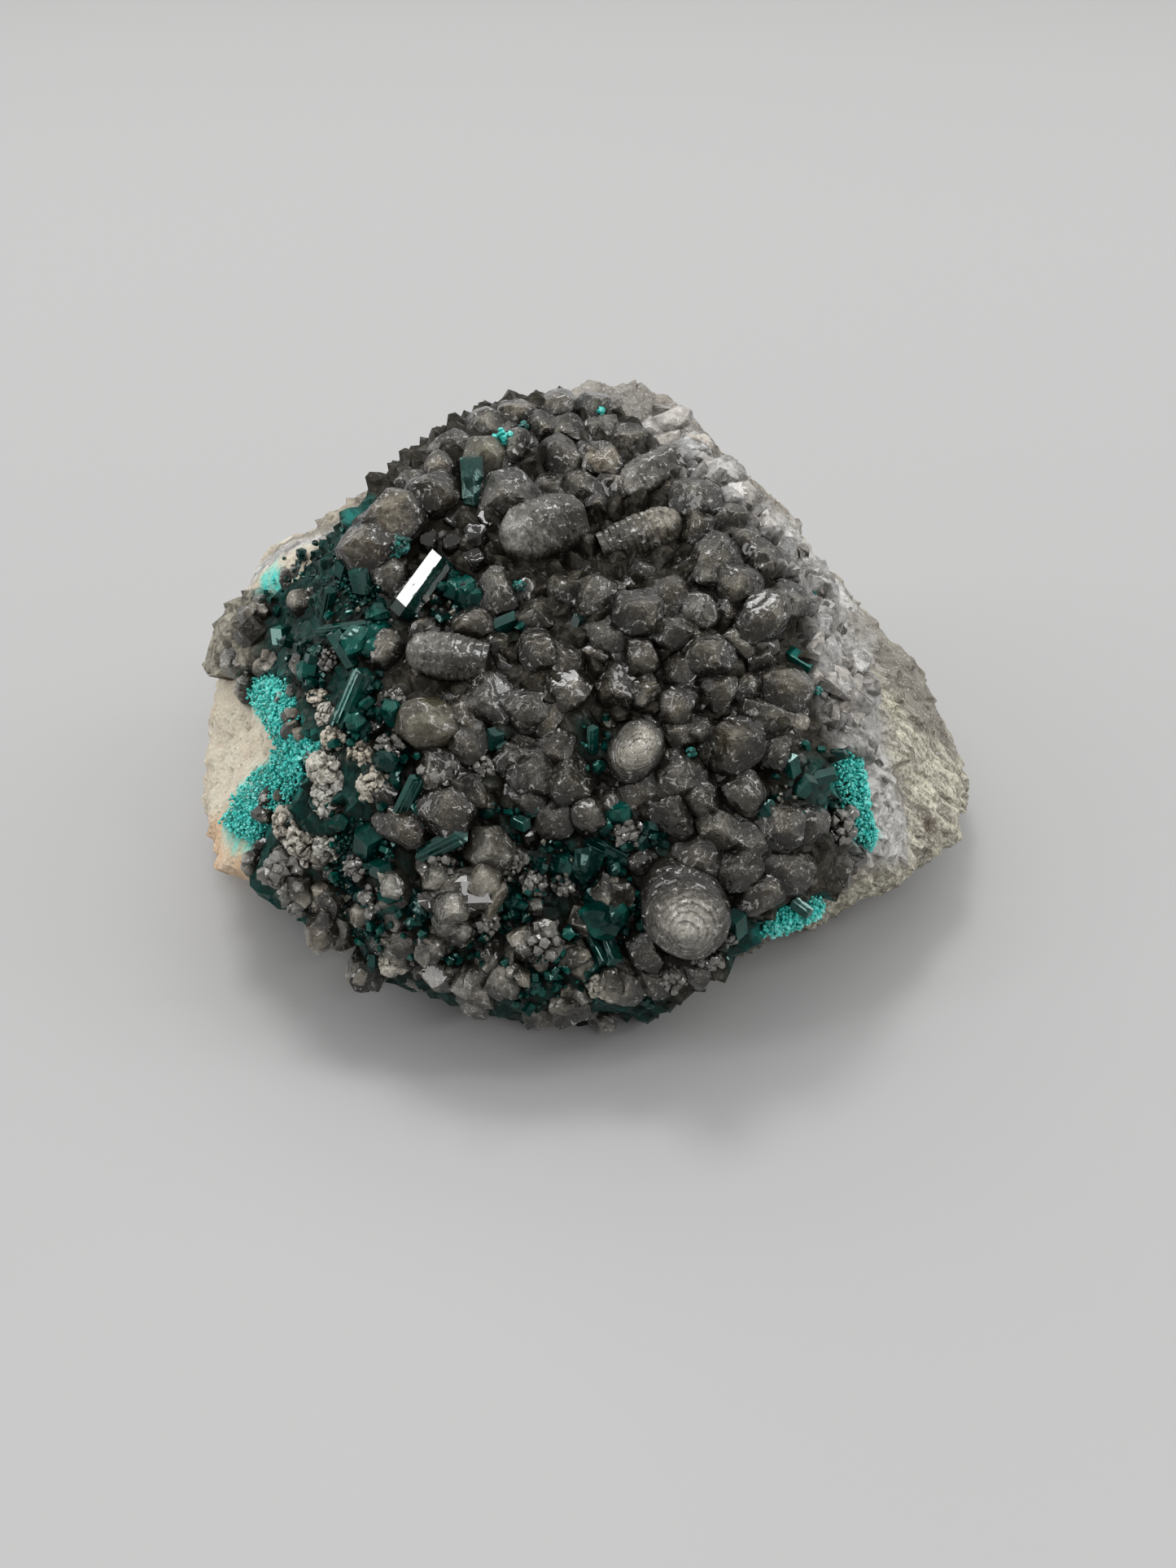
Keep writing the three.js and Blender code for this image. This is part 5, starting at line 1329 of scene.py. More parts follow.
def standing_batch(rows, form, spread, seed, around, down, lean=0.3, dim=0.55, **options):
    """A batch of standing calcites of one form, each leaning its own way, the lower ones dimmer by a share, as painted
    shade.

    The flat tops of the glassy ones face halfway between the eye and the main panel, so that they mirror it.
    """
    feet, axes, radii, heights = standing_places(rows, spread)
    if form == "glassy":
        axes = unit(unit(EYE - feet) + unit(MAIN_PANEL - feet))
    axes = spread_axes(axes, lean, seed + 3)
    centres = feet + axes * (0.28 * heights)[:, None]
    turns = GOLDEN_ANGLE * np.arange(len(rows)) + seed
    points, faces, tips, face = crystal_domes(
        form, centres, axes, turns, radii, 0.72 * heights, seed, around, down, **options
    )
    # Painted shade: the lower a calcite stands on the face, the darker its cap and faces
    low_shade_factor = 1 - dim * smooth_step(26, -6, np.array([row[1] for row in rows], float))
    marks = calcite_marks(tips, seed, face=face)
    marks["shade"] = marks["shade"] * low_shade_factor[:, None]
    marks["face"] = marks["face"] * low_shade_factor[:, None]
    return stay_above_ground(points), faces, marks


def clump_batch(rows, spread, seed, around, down, parts):
    """Clumps of blocky crystals: each part leans its own way and starts a little off the clump's middle."""
    feet, axes, radii, heights = (np.repeat(part, parts, axis=0) for part in standing_places(rows, spread))
    random = np.random.default_rng(seed)
    count = len(feet)
    size = radii * random.uniform(0.4, 0.92, count)
    centres = feet + axes * (0.3 * heights)[:, None] + random.uniform(-0.55, 0.55, (count, 3)) * radii[:, None]
    points, faces, tips, face = crystal_domes(
        "blocky", centres, spread_axes(axes, 1.0, seed + 1), GOLDEN_ANGLE * np.arange(count), size,
        size * random.uniform(0.9, 1.5, count), seed, around, down, power=200.0, stray=1.6, steps=0.0, lumps=0.3,
    )
    marks = calcite_marks(tips, seed, 0.5, 1.0, face)
    # Painted shade: clumps low on the rim are darker in their caps and faces
    low_shade_factor = 1 - 0.5 * smooth_step(-12, -26, np.repeat([row[1] for row in rows], parts))
    marks["shade"] = marks["shade"] * low_shade_factor[:, None]
    marks["face"] = marks["face"] * low_shade_factor[:, None]
    return stay_above_ground(points), faces, marks


def is_frosted(across, up):
    """Whether a calcite is one of the frosted ones low on the left."""
    return (up < -8) & (across < 6) | (across < -30)


def clear_of_prisms(places, margin):
    """Whether each place is farther than a margin from every dioptase prism, by sight."""
    clear = np.full(len(places), True)
    for across, up, length, width, heading, *_ in itertools.chain(*DIOPTASES.values()):
        way = np.array((math.cos(math.radians(heading)), math.sin(math.radians(heading))))
        reach = places - (across, up)
        along = np.clip(reach @ way, -length / 2, length / 2)
        clear &= np.linalg.norm(reach - along[:, None] * way, axis=1) > width / 2 + margin
    return clear


class SPECIMEN_OT_calcite_bed(Operator):
    """Builds the dark bumpy bed that the calcites stand on"""

    bl_idname = "specimen.calcite_bed"
    bl_label = "Calcite bed"

    around = 240
    down = 110

    def execute(self, context):
        axis = unit(np.array([[0.0, -0.62, 0.78]]))
        local = sphere_ways(self.around, self.down, math.radians(112))
        ways = local @ frames_along(axis, np.zeros(1))[0]
        radius = lump_radius(ways)
        points = LUMP_CENTRE + ways * radius[:, None]
        facing = np.einsum("ij,ij->i", lump_normal(points, 12.0), unit(EYE - points))
        across, up = by_sight(points)
        crust = inside_distance(CRUST_EDGE, across, up)
        covered = smooth_step(-0.4, 1.6, crust) * smooth_step(-0.08, 0.0, facing)
        _, edges = facet_relief(points, 2.2, 7, 1.0)
        knobs = smooth_step(0.0, 0.7, edges) + 0.3 * layered_noise(points, 2.0, 3, 13)
        stone = smooth_step(-37.5, -40, across + 1.5 * layered_noise(points, 4, 3, 19)) * smooth_step(9, 12, up)
        plates, _ = facet_relief(points, 2.6, 9, 0.9)
        rubble = 0.9 * plates + 0.8 * layered_noise(points, 3, 4, 15)
        paste = np.max([inside_distance(edge, across, up) for edge in PASTE_EDGES], axis=0)
        paste = smooth_step(-0.8, 0.4, paste)
        low_left = smooth_step(-3, -7, up) * smooth_step(12, 6, across)
        green = np.maximum(green_share(across, up), 0.85 * low_left)
        spar = smooth_step(5.0, 2.5, crust + layered_noise(points, 4, 3, 21)) * smooth_step(16, 21, across + 0.25 * up)
        spar = spar * smooth_step(-10, -7, up)
        height = GAP + 1.3 + 1.5 * knobs - green * (0.6 + 0.4 * knobs) + stone * rubble
        offset = height * (1 - 0.7 * paste) * covered - 4.5 * (1 - covered)
        points = LUMP_CENTRE + ways * (radius + offset)[:, None]
        points[-1] = LUMP_CENTRE
        points = stay_above_ground(points, 0.5)
        faces = outward(points, closed_rings(self.down, self.around))
        green = np.maximum(green, smooth_step(6, 2, up) * smooth_step(-23, -26, across))
        marks = {"green": green, "stone": stone, "paste": paste, "spar": spar}
        piece = make_piece("calcite_bed", points, faces, marks, math.radians(30))
        finish_piece(piece, bpy.data.materials["Smoky bed"], "calcite", "calcite_crust")
        return {"FINISHED"}


class SPECIMEN_OT_calcites(Operator):
    """Builds the calcites that stand on the bed"""

    bl_idname = "specimen.calcites"
    bl_label = "Calcites"

    # Form, rounding power and stray of the standing calcites, dealt out in turn
    forms = (("plain", 110.0, 1.2), ("round", 40.0, 1.3), ("blocky", 140.0, 1.2), ("plain", 90.0, 1.7))
    # Kind, form, material, rounding power, growth steps, their pitch, lumps, and points around and down
    special_kinds = (
        ("terraced", "round", "Terraced calcite", 12.0, 0.045, 0.085, 0.8, 72, 44),
        ("clear", "plain", "Clear calcite", 30.0, 0.01, 0.2, 1.0, 48, 28),
        ("blocky", "blocky", "Pale calcite", 60.0, 0.0, 0.2, 0.6, 40, 24),
        ("glassy", "glassy", "Glassy calcite", 160.0, 0.0, 0.2, 0.0, 30, 18),
    )

    def execute(self, context):
        own = settings()
        frosted = [row for row in CALCITES if is_frosted(row[0], row[1])]
        smoky = [row for row in CALCITES if not is_frosted(row[0], row[1])]
        sizes = (
            ("large", [row for row in smoky if row[2] >= 2.15], 40, 23),
            ("middling", [row for row in smoky if row[2] < 2.15], 30, 17),
        )
        for name, wanted, around, down in sizes:
            batches = []
            for turn, (form, power, stray) in enumerate(self.forms):
                batches.append(standing_batch(
                    wanted[turn::len(self.forms)], form, own.calcite_spread, 3 + turn, around, down, power=power,
                    stray=stray,
                ))
            points, faces, marks = join_batches(batches)
            piece = make_piece(f"calcites_{name}", points, outward(points, faces), marks, math.radians(18))
            finish_piece(piece, bpy.data.materials["Smoky calcite"], "calcite", "calcite_crust")
        points, faces, marks = join_batches([clump_batch(frosted, 0.74 * own.calcite_spread, 13, 20, 11, 5)])
        piece = make_piece("calcites_frosted", points, outward(points, faces), marks)
        finish_piece(piece, bpy.data.materials["Frosted calcite"], "calcite", "calcite_crust")
        for kind, form, material, power, steps, pitch, lumps, around, down in self.special_kinds:
            rows = [row for row in SPECIAL_CALCITES if row[5] == kind]
            batch = standing_batch(
                rows, form, 0.83 * own.calcite_spread, 17, around, down, lean=0.12 if kind == "glassy" else 0.05,
                dim=0.0, power=power, stray=0.7, steps=steps, pitch=pitch, lumps=lumps,
            )
            points, faces, marks = join_batches([batch])
            piece = make_piece(f"calcites_{kind}", points, outward(points, faces), marks, math.radians(24))
            finish_piece(piece, bpy.data.materials[material], "calcite", "calcite_crust")
        return {"FINISHED"}


class SPECIMEN_OT_lying_calcites(Operator):
    """Builds the stepped barrels that lie along the face"""

    bl_idname = "specimen.lying_calcites"
    bl_label = "Lying calcites"

    around = 56
    along = 50

    def execute(self, context):
        feet = np.array([row[0] for row in LYING_CALCITES], float)
        tips = np.array([row[1] for row in LYING_CALCITES], float)
        half = np.array([row[2] for row in LYING_CALCITES])
        stand = np.array([row[3] for row in LYING_CALCITES])
        foot, foot_normals, _, scale = cast(*feet.T)
        tip, tip_normals, _, _ = cast(*tips.T)
        radius = half * scale * 1.12
        start = foot + foot_normals * (0.5 * radius)[:, None]
        reach = tip + tip_normals * stand[:, None] - start
        length = np.linalg.norm(reach, axis=1)
        share = np.linspace(0, 1, self.along)
        batches = []
        for i in range(len(LYING_CALCITES)):
            batches.append(self.barrel(start[i], reach[i] / length[i], length[i], radius[i], share, i))
        points, faces, marks = join_batches(batches)
        piece = make_piece("calcites_lying", points, outward(points, faces), marks, math.radians(24))
        finish_piece(piece, bpy.data.materials["Pale calcite"], "calcite", "calcite_crust")
        return {"FINISHED"}

    def barrel(self, start, axis, length, radius, share, index):
        """A stack of rounded six-sided plates: the radius falls to a dome at the tip and steps in at each plate."""
        turn = 2 * math.pi * np.arange(self.around) / self.around
        dome = np.sqrt(np.clip(1 - np.clip((share * length - (length - radius)) / radius, 0, 1) ** 2.3, 0, 1))
        swell = 0.86 + 0.18 * np.sin(math.pi * np.clip(share * 1.1, 0, 1))
        plates = length / 0.7
        six = 1 + 0.045 * np.cos(6 * turn + index)
        place = np.stack(np.broadcast_arrays(
            radius * np.cos(turn), radius * np.sin(turn), (share * length)[:, None]
        ), axis=-1)
        slip = 0.55 * layered_noise(place + 17.0 * index, 2.2, 3, 81)
        saw = (share[:, None] * plates + slip) % 1
        profile = (radius * dome * swell)[:, None] * (1 - 0.06 * saw)
        local = np.stack((
            profile * six * np.cos(turn), profile * six * np.sin(turn), place[..., 2],
        ), axis=-1)
        ring = local.reshape(-1, 3)
        bumps = 0.08 * radius * layered_noise(ring + 31.0 * index, 1.5, 3, 83)
        ring[:, :2] *= (1 + bumps / np.maximum(np.linalg.norm(ring[:, :2], axis=1), 0.3))[:, None]
        ring = np.concatenate(([[0, 0, -0.01]], ring[: -self.around], [[0, 0, length]]))
        points = place_shapes(ring[None], start[None], frames_along(axis[None], np.array([0.4 * index])))
        tips = np.concatenate(([0], np.repeat(0.35 + 0.65 * share[:-1], self.around), [1]))[None]
        return points, closed_rings(self.along - 1, self.around), calcite_marks(tips, 80 + index, 0.8, 1.0)


class SPECIMEN_OT_small_calcites(Operator):
    """Builds the small calcites that fill the gaps between the large ones"""

    bl_idname = "specimen.small_calcites"
    bl_label = "Small calcites"

    def execute(self, context):
        own = settings()
        random = np.random.default_rng(29)
        places = on_the_lump(scatter_in(CRUST_EDGE, 10 * own.small_calcites, 31))
        half = random.uniform(0.8, 1.7, len(places))
        taken = np.array([row[:3] for row in (*CALCITES, *SPECIAL_CALCITES)], float)
        gems = np.array([(*row[:2], 0.5 * row[3]) for rows in DIOPTASES.values() for row in rows], float)
        kept = []
        for place, size in zip(places, half):
            near = np.linalg.norm(taken[:, :2] - place, axis=1) < 0.62 * (taken[:, 2] + size)
            under = np.linalg.norm(gems[:, :2] - place, axis=1) < gems[:, 2] + size
            if not near.any() and not under.any():
                kept.append((*place, size, random.uniform(0.7, 1.1)))
                taken = np.concatenate((taken, [(*place, size)]))
        kept = np.array(kept[: own.small_calcites])
        green = green_share(kept[:, 0], kept[:, 1])
        kept = kept[green < random.uniform(0.1, 0.8, len(kept))]
        low_left = is_frosted(kept[:, 0], kept[:, 1])
        batches = (
            ("small", "Smoky", standing_batch(
                kept[~low_left], "blocky", own.calcite_spread, 37, 20, 11, lean=0.5, stray=1.4, power=50.0
            )),
            ("small_frosted", "Frosted", clump_batch(kept[low_left], 0.74 * own.calcite_spread, 39, 16, 9, 3)),
        )
        for name, kind, batch in batches:
            points, faces, marks = join_batches([batch])
            piece = make_piece(f"calcites_{name}", points, outward(points, faces), marks, math.radians(20))
            finish_piece(piece, bpy.data.materials[f"{kind} calcite"], "calcite", "calcite_crust")
        return {"FINISHED"}


class SPECIMEN_OT_spar(Operator):
    """Builds the pale cleaved spar along the right border of the crust"""

    bl_idname = "specimen.spar"
    bl_label = "Spar"

    crystals = 170

    def execute(self, context):
        random = np.random.default_rng(67)
        places = on_the_lump(scatter_in(SPAR_EDGE, self.crystals, 69))
        half = 0.9 + 1.8 * random.uniform(0, 1, len(places)) ** 1.5
        rows = np.column_stack((places, half, random.uniform(0.1, 0.35, len(places))))
        batch = standing_batch(rows, "blocky", 1.1, 71, 16, 8, lean=0.75, dim=0.0, stray=2.0, power=150.0, steps=0.0)
        points, faces, marks = join_batches([batch])
        piece = make_piece("spar_border", points, outward(points, faces), marks, math.radians(20))
        finish_piece(piece, bpy.data.materials["Spar"], "calcite")
        return {"FINISHED"}


class SPECIMEN_OT_popcorn(Operator):
    """Builds the pale knobbly calcite on the left and along the bottom"""

    bl_idname = "specimen.popcorn"
    bl_label = "Knobbly calcite"

    around = 58
    down = 30

    def execute(self, context):
        across, up, half = np.array(POPCORN, float).T
        points, normals, to_eye, scale = cast_under(across, up, COAT + 0.5 * half, calcite_axis)
        axes = calcite_axis(normals, to_eye)
        local = sphere_ways(self.around, self.down, math.radians(118))
        local[-1] = (0, 0, -0.4)
        size = 1.15 * (half * scale)[:, None]
        own = local[None] * size[..., None] + 50.0 * np.arange(len(POPCORN))[:, None, None]
        plates, gaps = facet_relief(own, 1.15, 43, 0.9)
        small_plates, small_gaps = facet_relief(own, 0.5, 47, 0.9)
        broad = layered_noise(own, 2.4, 3, 49)
        swell = 0.17 * smooth_step(0, 0.4, gaps) + 0.42 * plates + 0.09 * smooth_step(0, 0.4, small_gaps)
        radius = 0.88 * size + swell + 0.12 * small_plates + 0.3 * broad * size
        radius[:, -1] = size[:, 0]
        domes = place_shapes(local[None] * radius[..., None], points + axes * (0.6 * COAT), frames_along(axes, half))
        faces = repeated_faces(closed_rings(self.down, self.around), len(local), len(POPCORN))
        # The swell stands in for the way up: the knobs are pale and the gaps between them dark, as painted light and
        # shade
        tips = np.clip(0.45 + 0.5 * swell / 0.5, 0, 1)
        joined, faces, marks = join_batches([(stay_above_ground(domes), faces, calcite_marks(tips, 53, 0.5, 0.9))])
        piece = make_piece("calcites_knobbly", joined, outward(joined, faces), marks, math.radians(30))
        finish_piece(piece, bpy.data.materials["Milky calcite"], "calcite", "calcite_crust")
        return {"FINISHED"}


def prism_shape(length, width, seed, fine, ragged):
    """A six-sided prism between ends of three rhombic faces.

    Rows run from the lower tip to the upper tip: on an end, points go out along the hexagon's spokes and fall by
    the cap's slope times their largest reach towards its three low corners; on the sides, rows join the two
    zigzag edges. Lengthwise lines step each strip of a side in or out.
    """
    random = np.random.default_rng(seed)
    around = 6 * fine
    turn = 2 * math.pi * np.arange(around) / around
    radius = width / 2
    half_side = math.pi / 6
    hexagon = radius * math.cos(half_side) / np.cos((turn % (2 * half_side)) - half_side)
    strips = 1 + ragged * 0.05 * random.uniform(-1, 0.4, around)
    lows = 2 * math.pi * np.arange(3) / 3
    lean = np.cos(turn[:, None] - lows).max(axis=1)
    lean_below = np.cos(turn[:, None] - lows - math.pi / 3).max(axis=1)
    tip = length / 2
    cap = np.linspace(0, 1, 5)[1:]
    sides = np.linspace(0, 1, 6)[1:-1]
    spoke = hexagon * strips
    top = tip - CAP_SLOPE * cap[:, None] * hexagon * lean
    bottom = -tip + CAP_SLOPE * cap[:, None] * hexagon * lean_below
    top_rows = np.stack((cap[:, None] * spoke * np.cos(turn), cap[:, None] * spoke * np.sin(turn), top), axis=-1)
    bottom_rows = np.stack((cap[:, None] * spoke * np.cos(turn), cap[:, None] * spoke * np.sin(turn), bottom), axis=-1)
    between = top[-1] + (bottom[-1] - top[-1]) * sides[:, None]
    side_rows = np.stack((
        np.broadcast_to(spoke * np.cos(turn), between.shape), np.broadcast_to(spoke * np.sin(turn), between.shape),
        between,
    ), axis=-1)
    rows = np.concatenate((top_rows, side_rows, bottom_rows[::-1]))
    points = np.concatenate(([[0, 0, tip]], rows.reshape(-1, 3), [[0, 0, -tip]]))
    return points, closed_rings(len(rows), around)


def turn_towards(axis, way):
    """Turn about an axis that brings a frame's x towards a way."""
    x, y, _ = frames_along(axis[None], np.zeros(1))[0]
    return math.atan2(way @ y, way @ x)


def dioptase_place(row):
    """Centre, axis, turn that faces a ridge to the eye, and real length and width of a dioptase."""
    across, up, length, width, heading, pitch, lift, _ = row
    place = cast_under(np.array([across]), np.array([up]), lift, lambda normals, to_eye: normals)
    point, normal, to_eye, scale = (part[0] for part in place)
    flat = SIGHT_RIGHT * math.cos(math.radians(heading)) + SIGHT_UP * math.sin(math.radians(heading))
    along = flat - to_eye * (flat @ normal) / max(LEAST_SEEN, to_eye @ normal)
    stretch = min(1 / LEAST_SEEN, np.linalg.norm(along))
    tilt = math.radians(pitch)
    axis = unit(unit(along) * math.cos(tilt) + normal * math.sin(tilt))
    centre = point + normal * lift * scale
    return centre, axis, turn_towards(axis, to_eye), length * scale * stretch, width * scale


class SPECIMEN_OT_dioptases(Operator):
    """Builds the dioptase prisms, each in place of its CAD node"""

    bl_idname = "specimen.dioptases"
    bl_label = "Dioptase prisms"

    # Prisms that differ from the others in their finish
    finishes = {
        "dioptase_bright_prism": "Clear dioptase", "dioptase_small_glint": "Clear dioptase",
        # The rim prisms take a lighter, more opaque copy of the dioptase, as painted light
        "dioptase_rim_prism": "Lit dioptase", "dioptase_rim_sliver": "Lit dioptase",
        "dioptase_upper_prism": "Dark dioptase",
    }

    def execute(self, context):
        for number, (name, rows) in enumerate(DIOPTASES.items()):
            batches = []
            for part, row in enumerate(rows):
                batches += self.crystal(row, 100 + 10 * number + part)
            points, faces, marks = join_batches(batches)
            piece = make_piece(f"{name}_crystal", points, outward(points, faces), marks, math.radians(14))
            finish_piece(piece, bpy.data.materials[self.finishes.get(name, "Dioptase")], "dioptase", name)
        return {"FINISHED"}

    def crystal(self, row, seed):
        """One crystal, or the parallel blades that it is made of."""
        random = np.random.default_rng(seed)
        centre, axis, turn, length, width = dioptase_place(row)
        blades = row[7]
        basis = frames_along(axis[None], np.array([turn]))
        batches = []
        for blade in range(blades):
            first = blade == 0
            size = width * (1 if blades == 1 else 0.88 if first else random.uniform(0.3, 0.46))
            long = length * (1 if first else random.uniform(0.7, 1.0))
            points, faces = prism_shape(long, size, seed + 7 * blade, 4, 0.6)
            angle = (-1) ** blade * math.radians(30 * blade + random.uniform(-12, 12))
            out = 0 if first else 0.46 * width - 0.36 * size
            shift = np.array((out * math.cos(angle), out * math.sin(angle), 0.5 * (length - long) * random.uniform(-1, 1)))
            placed = place_shapes((points + shift)[None], centre[None], basis)
            batches.append((stay_above_ground(placed), faces, {}))
        return batches


class SPECIMEN_OT_druse(Operator):
    """Builds the turquoise druse: a skin of grains for each CAD patch"""

    bl_idname = "specimen.druse"
    bl_label = "Turquoise druse"

    def execute(self, context):
        for number, (name, edge) in enumerate(DRUSE_EDGES.items()):
            count = int(settings().druse_grains * edge_area(edge) / 100 * 2.2)
            random = np.random.default_rng(200 + number)
            places = on_the_lump(scatter_in(edge, count, 210 + number), 0.15)
            count = len(places)
            points, normals, _, _ = cast(*places.T)
            radii = random.uniform(0.14, 0.34, count) * random.uniform(0.7, 1.2, count)
            lengths = radii * random.uniform(1.2, 2.4, count)
            swell = 0.35 + 0.65 * smooth_step(0, 1.2, inside_distance(edge, *places.T))
            swell = swell * smooth_step(-2, 1, inside_distance(CRUST_EDGE, *places.T))
            centres = points + normals * ((0.25 + 0.9 * DRUSE * random.uniform(0, 1, count)) * swell)[:, None]
            axes = spread_axes(normals, 0.7, 220 + number)
            joined, faces = small_prisms(centres, axes, radii, lengths, 230 + number, sides=5)
            joined = stay_above_ground(joined)
            piece = make_piece(f"{name}_grains", joined, outward(joined, faces))
            dark = name in ("druse_upper_left", "druse_lower_left")
            finish_piece(piece, bpy.data.materials["Dioptase grains" if dark else "Turquoise druse"], "druse", name)
        return {"FINISHED"}


class SPECIMEN_OT_paste(Operator):
    """Builds the fine turquoise grains that spread past the patches"""

    bl_idname = "specimen.paste"
    bl_label = "Turquoise paste"

    density = 24.0  # grains on each square mm by sight

    def execute(self, context):
        places = np.concatenate([
            scatter_in(edge, int(self.density * edge_area(edge)), 250 + index) for index, edge in enumerate(PASTE_EDGES)
        ])
        places = on_the_lump(places)
        deepest = np.max([inside_distance(edge, *places.T) for edge in PASTE_EDGES], axis=0)
        flat = np.concatenate((places, np.zeros((len(places), 1))), axis=1)
        keep = layered_noise(flat, 1.6, 3, 260) + 0.8 * smooth_step(0, 1.2, deepest) > 0.1
        places, deepest = places[keep], deepest[keep]
        random = np.random.default_rng(262)
        count = len(places)
        points, normals, _, _ = cast(*places.T)
        radii = random.uniform(0.09, 0.2, count)
        lift = (0.2 + 1.1 * random.uniform(0, 1, count)) * smooth_step(-0.4, 1.0, deepest)
        centres = points + normals * lift[:, None]
        axes = spread_axes(normals, 0.9, 264)
        joined, faces = small_prisms(centres, axes, radii, 1.3 * radii, 266, sides=5)
        joined = stay_above_ground(joined)
        piece = make_piece("druse_paste", joined, outward(joined, faces))
        finish_piece(piece, bpy.data.materials["Turquoise druse"], "druse")
        return {"FINISHED"}


class SPECIMEN_OT_grains(Operator):
    """Builds the small dioptase and clear grains that line the green hollows"""

    bl_idname = "specimen.grains"
    bl_label = "Grains in the hollows"

    # Name, grains on each square mm by sight, least and largest radius, lift off the lump, material and slot
    kinds = (
        ("grains_small", 1.5, 0.16, 0.7, 1.8, "Dioptase grains", "dioptase"),
        ("grains_clear", 1.4, 0.1, 0.36, 2.2, "Clear grains", "calcite"),
    )

    def execute(self, context):
        for number, (name, density, low, high, lift, material, slot) in enumerate(self.kinds):
            places = [
                scatter_in(edge, int(density * edge_area(edge)), 300 + 20 * number + index)
                for index, edge in enumerate(GREEN_HOLLOWS)
            ]
            places = on_the_lump(np.concatenate(places), 0.3)
            places = places[clear_of_prisms(places, 0.2) & clear_of_paste(places, 0.2)]
            places = places[inside_distance(CRUST_EDGE, *places.T) > 1]
            if name == "grains_clear":
                flat = np.concatenate((places, np.zeros((len(places), 1))), axis=1)
                upper_left = (places[:, 0] < -22) & (places[:, 1] > 8)
                places = places[layered_noise(flat, 3.2, 2, 333) > 0.2 + 0.3 * upper_left]
            count = len(places)
            random = np.random.default_rng(340 + number)
            points, normals, to_eye, _ = cast(*places.T)
            radii = low + (high - low) * random.uniform(0, 1, count) ** 2.6
            lengths = radii * random.uniform(1.3, 2.6, count)
            axes = spread_axes(calcite_axis(normals, to_eye), 0.9, 350 + number)
            centres = points + normals * (GAP + lift * random.uniform(0.1, 1, count) ** 1.5)[:, None]
            joined, faces = small_prisms(centres, axes, radii, lengths, 360 + number, sides=5)
            joined = stay_above_ground(joined)
            piece = make_piece(name, joined, outward(joined, faces))
            finish_piece(piece, bpy.data.materials[material], slot)
        return {"FINISHED"}


class SPECIMEN_OT_green_masses(Operator):
    """Builds the blocky glassy masses of dioptase in the green hollows"""

    bl_idname = "specimen.green_masses"
    bl_label = "Green masses"

    density = 0.17  # masses on each square mm by sight

    def execute(self, context):
        random = np.random.default_rng(501)
        places = np.concatenate([
            scatter_in(edge, int(self.density * edge_area(edge)), 510 + index)
            for index, edge in enumerate(GREEN_HOLLOWS)
        ])
        places = on_the_lump(places, 0.3)
        half = 0.8 + 1.6 * random.uniform(0, 1, len(places)) ** 1.8
        half = half * (1 - 0.45 * (places[:, 1] < -16))
        kept = clear_of_prisms(places, 0.4 * half) & clear_of_paste(places, 0.6 * half)
        kept &= inside_distance(CRUST_EDGE, *places.T) > 1
        places, half = places[kept], half[kept]
        rows = np.column_stack((places, half, random.uniform(0.4, 0.9, len(places))))
        points, faces, marks = join_batches([clump_batch(rows, 1.1, 520, 12, 8, 4)])
        piece = make_piece("grains_masses", points, outward(points, faces), marks)
        finish_piece(piece, bpy.data.materials["Dioptase grains"], "dioptase")
        return {"FINISHED"}


class SPECIMEN_OT_spots(Operator):
    """Builds the small turquoise and green spots"""

    bl_idname = "specimen.spots"
    bl_label = "Spots"

    grains = 46

    def execute(self, context):
        for number, (across, up, half, material) in enumerate(SPOTS):
            random = np.random.default_rng(600 + number)
            place = np.array([across]), np.array([up])
            point, normal, to_eye, scale = cast_under(*place, COAT + 1.6, calcite_axis)
            axis = calcite_axis(normal, to_eye)
            ways = unit(random.normal(0, 1, (self.grains, 3)) + axis)
            reach = half * scale * random.uniform(0.2, 1.0, (self.grains, 1))
            centres = point + axis * (COAT + 1.2) + ways * reach
            radii = random.uniform(0.2, 0.45, self.grains) * min(1, 0.4 + half / 2)
            joined, faces = small_prisms(centres, ways, radii, 1.4 * radii, 620 + number, sides=5)
            piece = make_piece(f"spot_{number + 1}", joined, outward(joined, faces))
            finish_piece(piece, bpy.data.materials[material], "druse")
        return {"FINISHED"}


class SPECIMEN_OT_clusters(Operator):
    """Builds the clusters of clear crystals that point every way"""

    bl_idname = "specimen.clusters"
    bl_label = "Clear clusters"

    crystals = 70

    def execute(self, context):
        random = np.random.default_rng(401)
        across, up, half, size = np.array(CLUSTERS, float).T
        points, normals, to_eye, scale = cast_under(across, up, COAT + 0.6 * half, calcite_axis)
        axes = calcite_axis(normals, to_eye)
        shape = (len(CLUSTERS), self.crystals)
        ways = unit(random.normal(0, 1, (*shape, 3)) + 0.9 * axes[:, None])
        reach = (half * scale)[:, None, None] * random.uniform(0.3, 1.0, (*shape, 1)) ** 0.5
        centres = ((points + axes * COAT)[:, None] + ways * reach).reshape(-1, 3)
        radii = (size[:, None] * random.uniform(0.45, 1.15, shape)).ravel()
        lengths = radii * random.uniform(1.2, 2.4, len(radii))
        axes = spread_axes(ways.reshape(-1, 3), 0.6, 403)
        joined, faces = small_prisms(centres, axes, radii, lengths, 405, sides=5)
        joined = stay_above_ground(joined)
        piece = make_piece("clusters_clear", joined, outward(joined, faces))
        finish_piece(piece, bpy.data.materials["White grains"], "calcite")
        return {"FINISHED"}


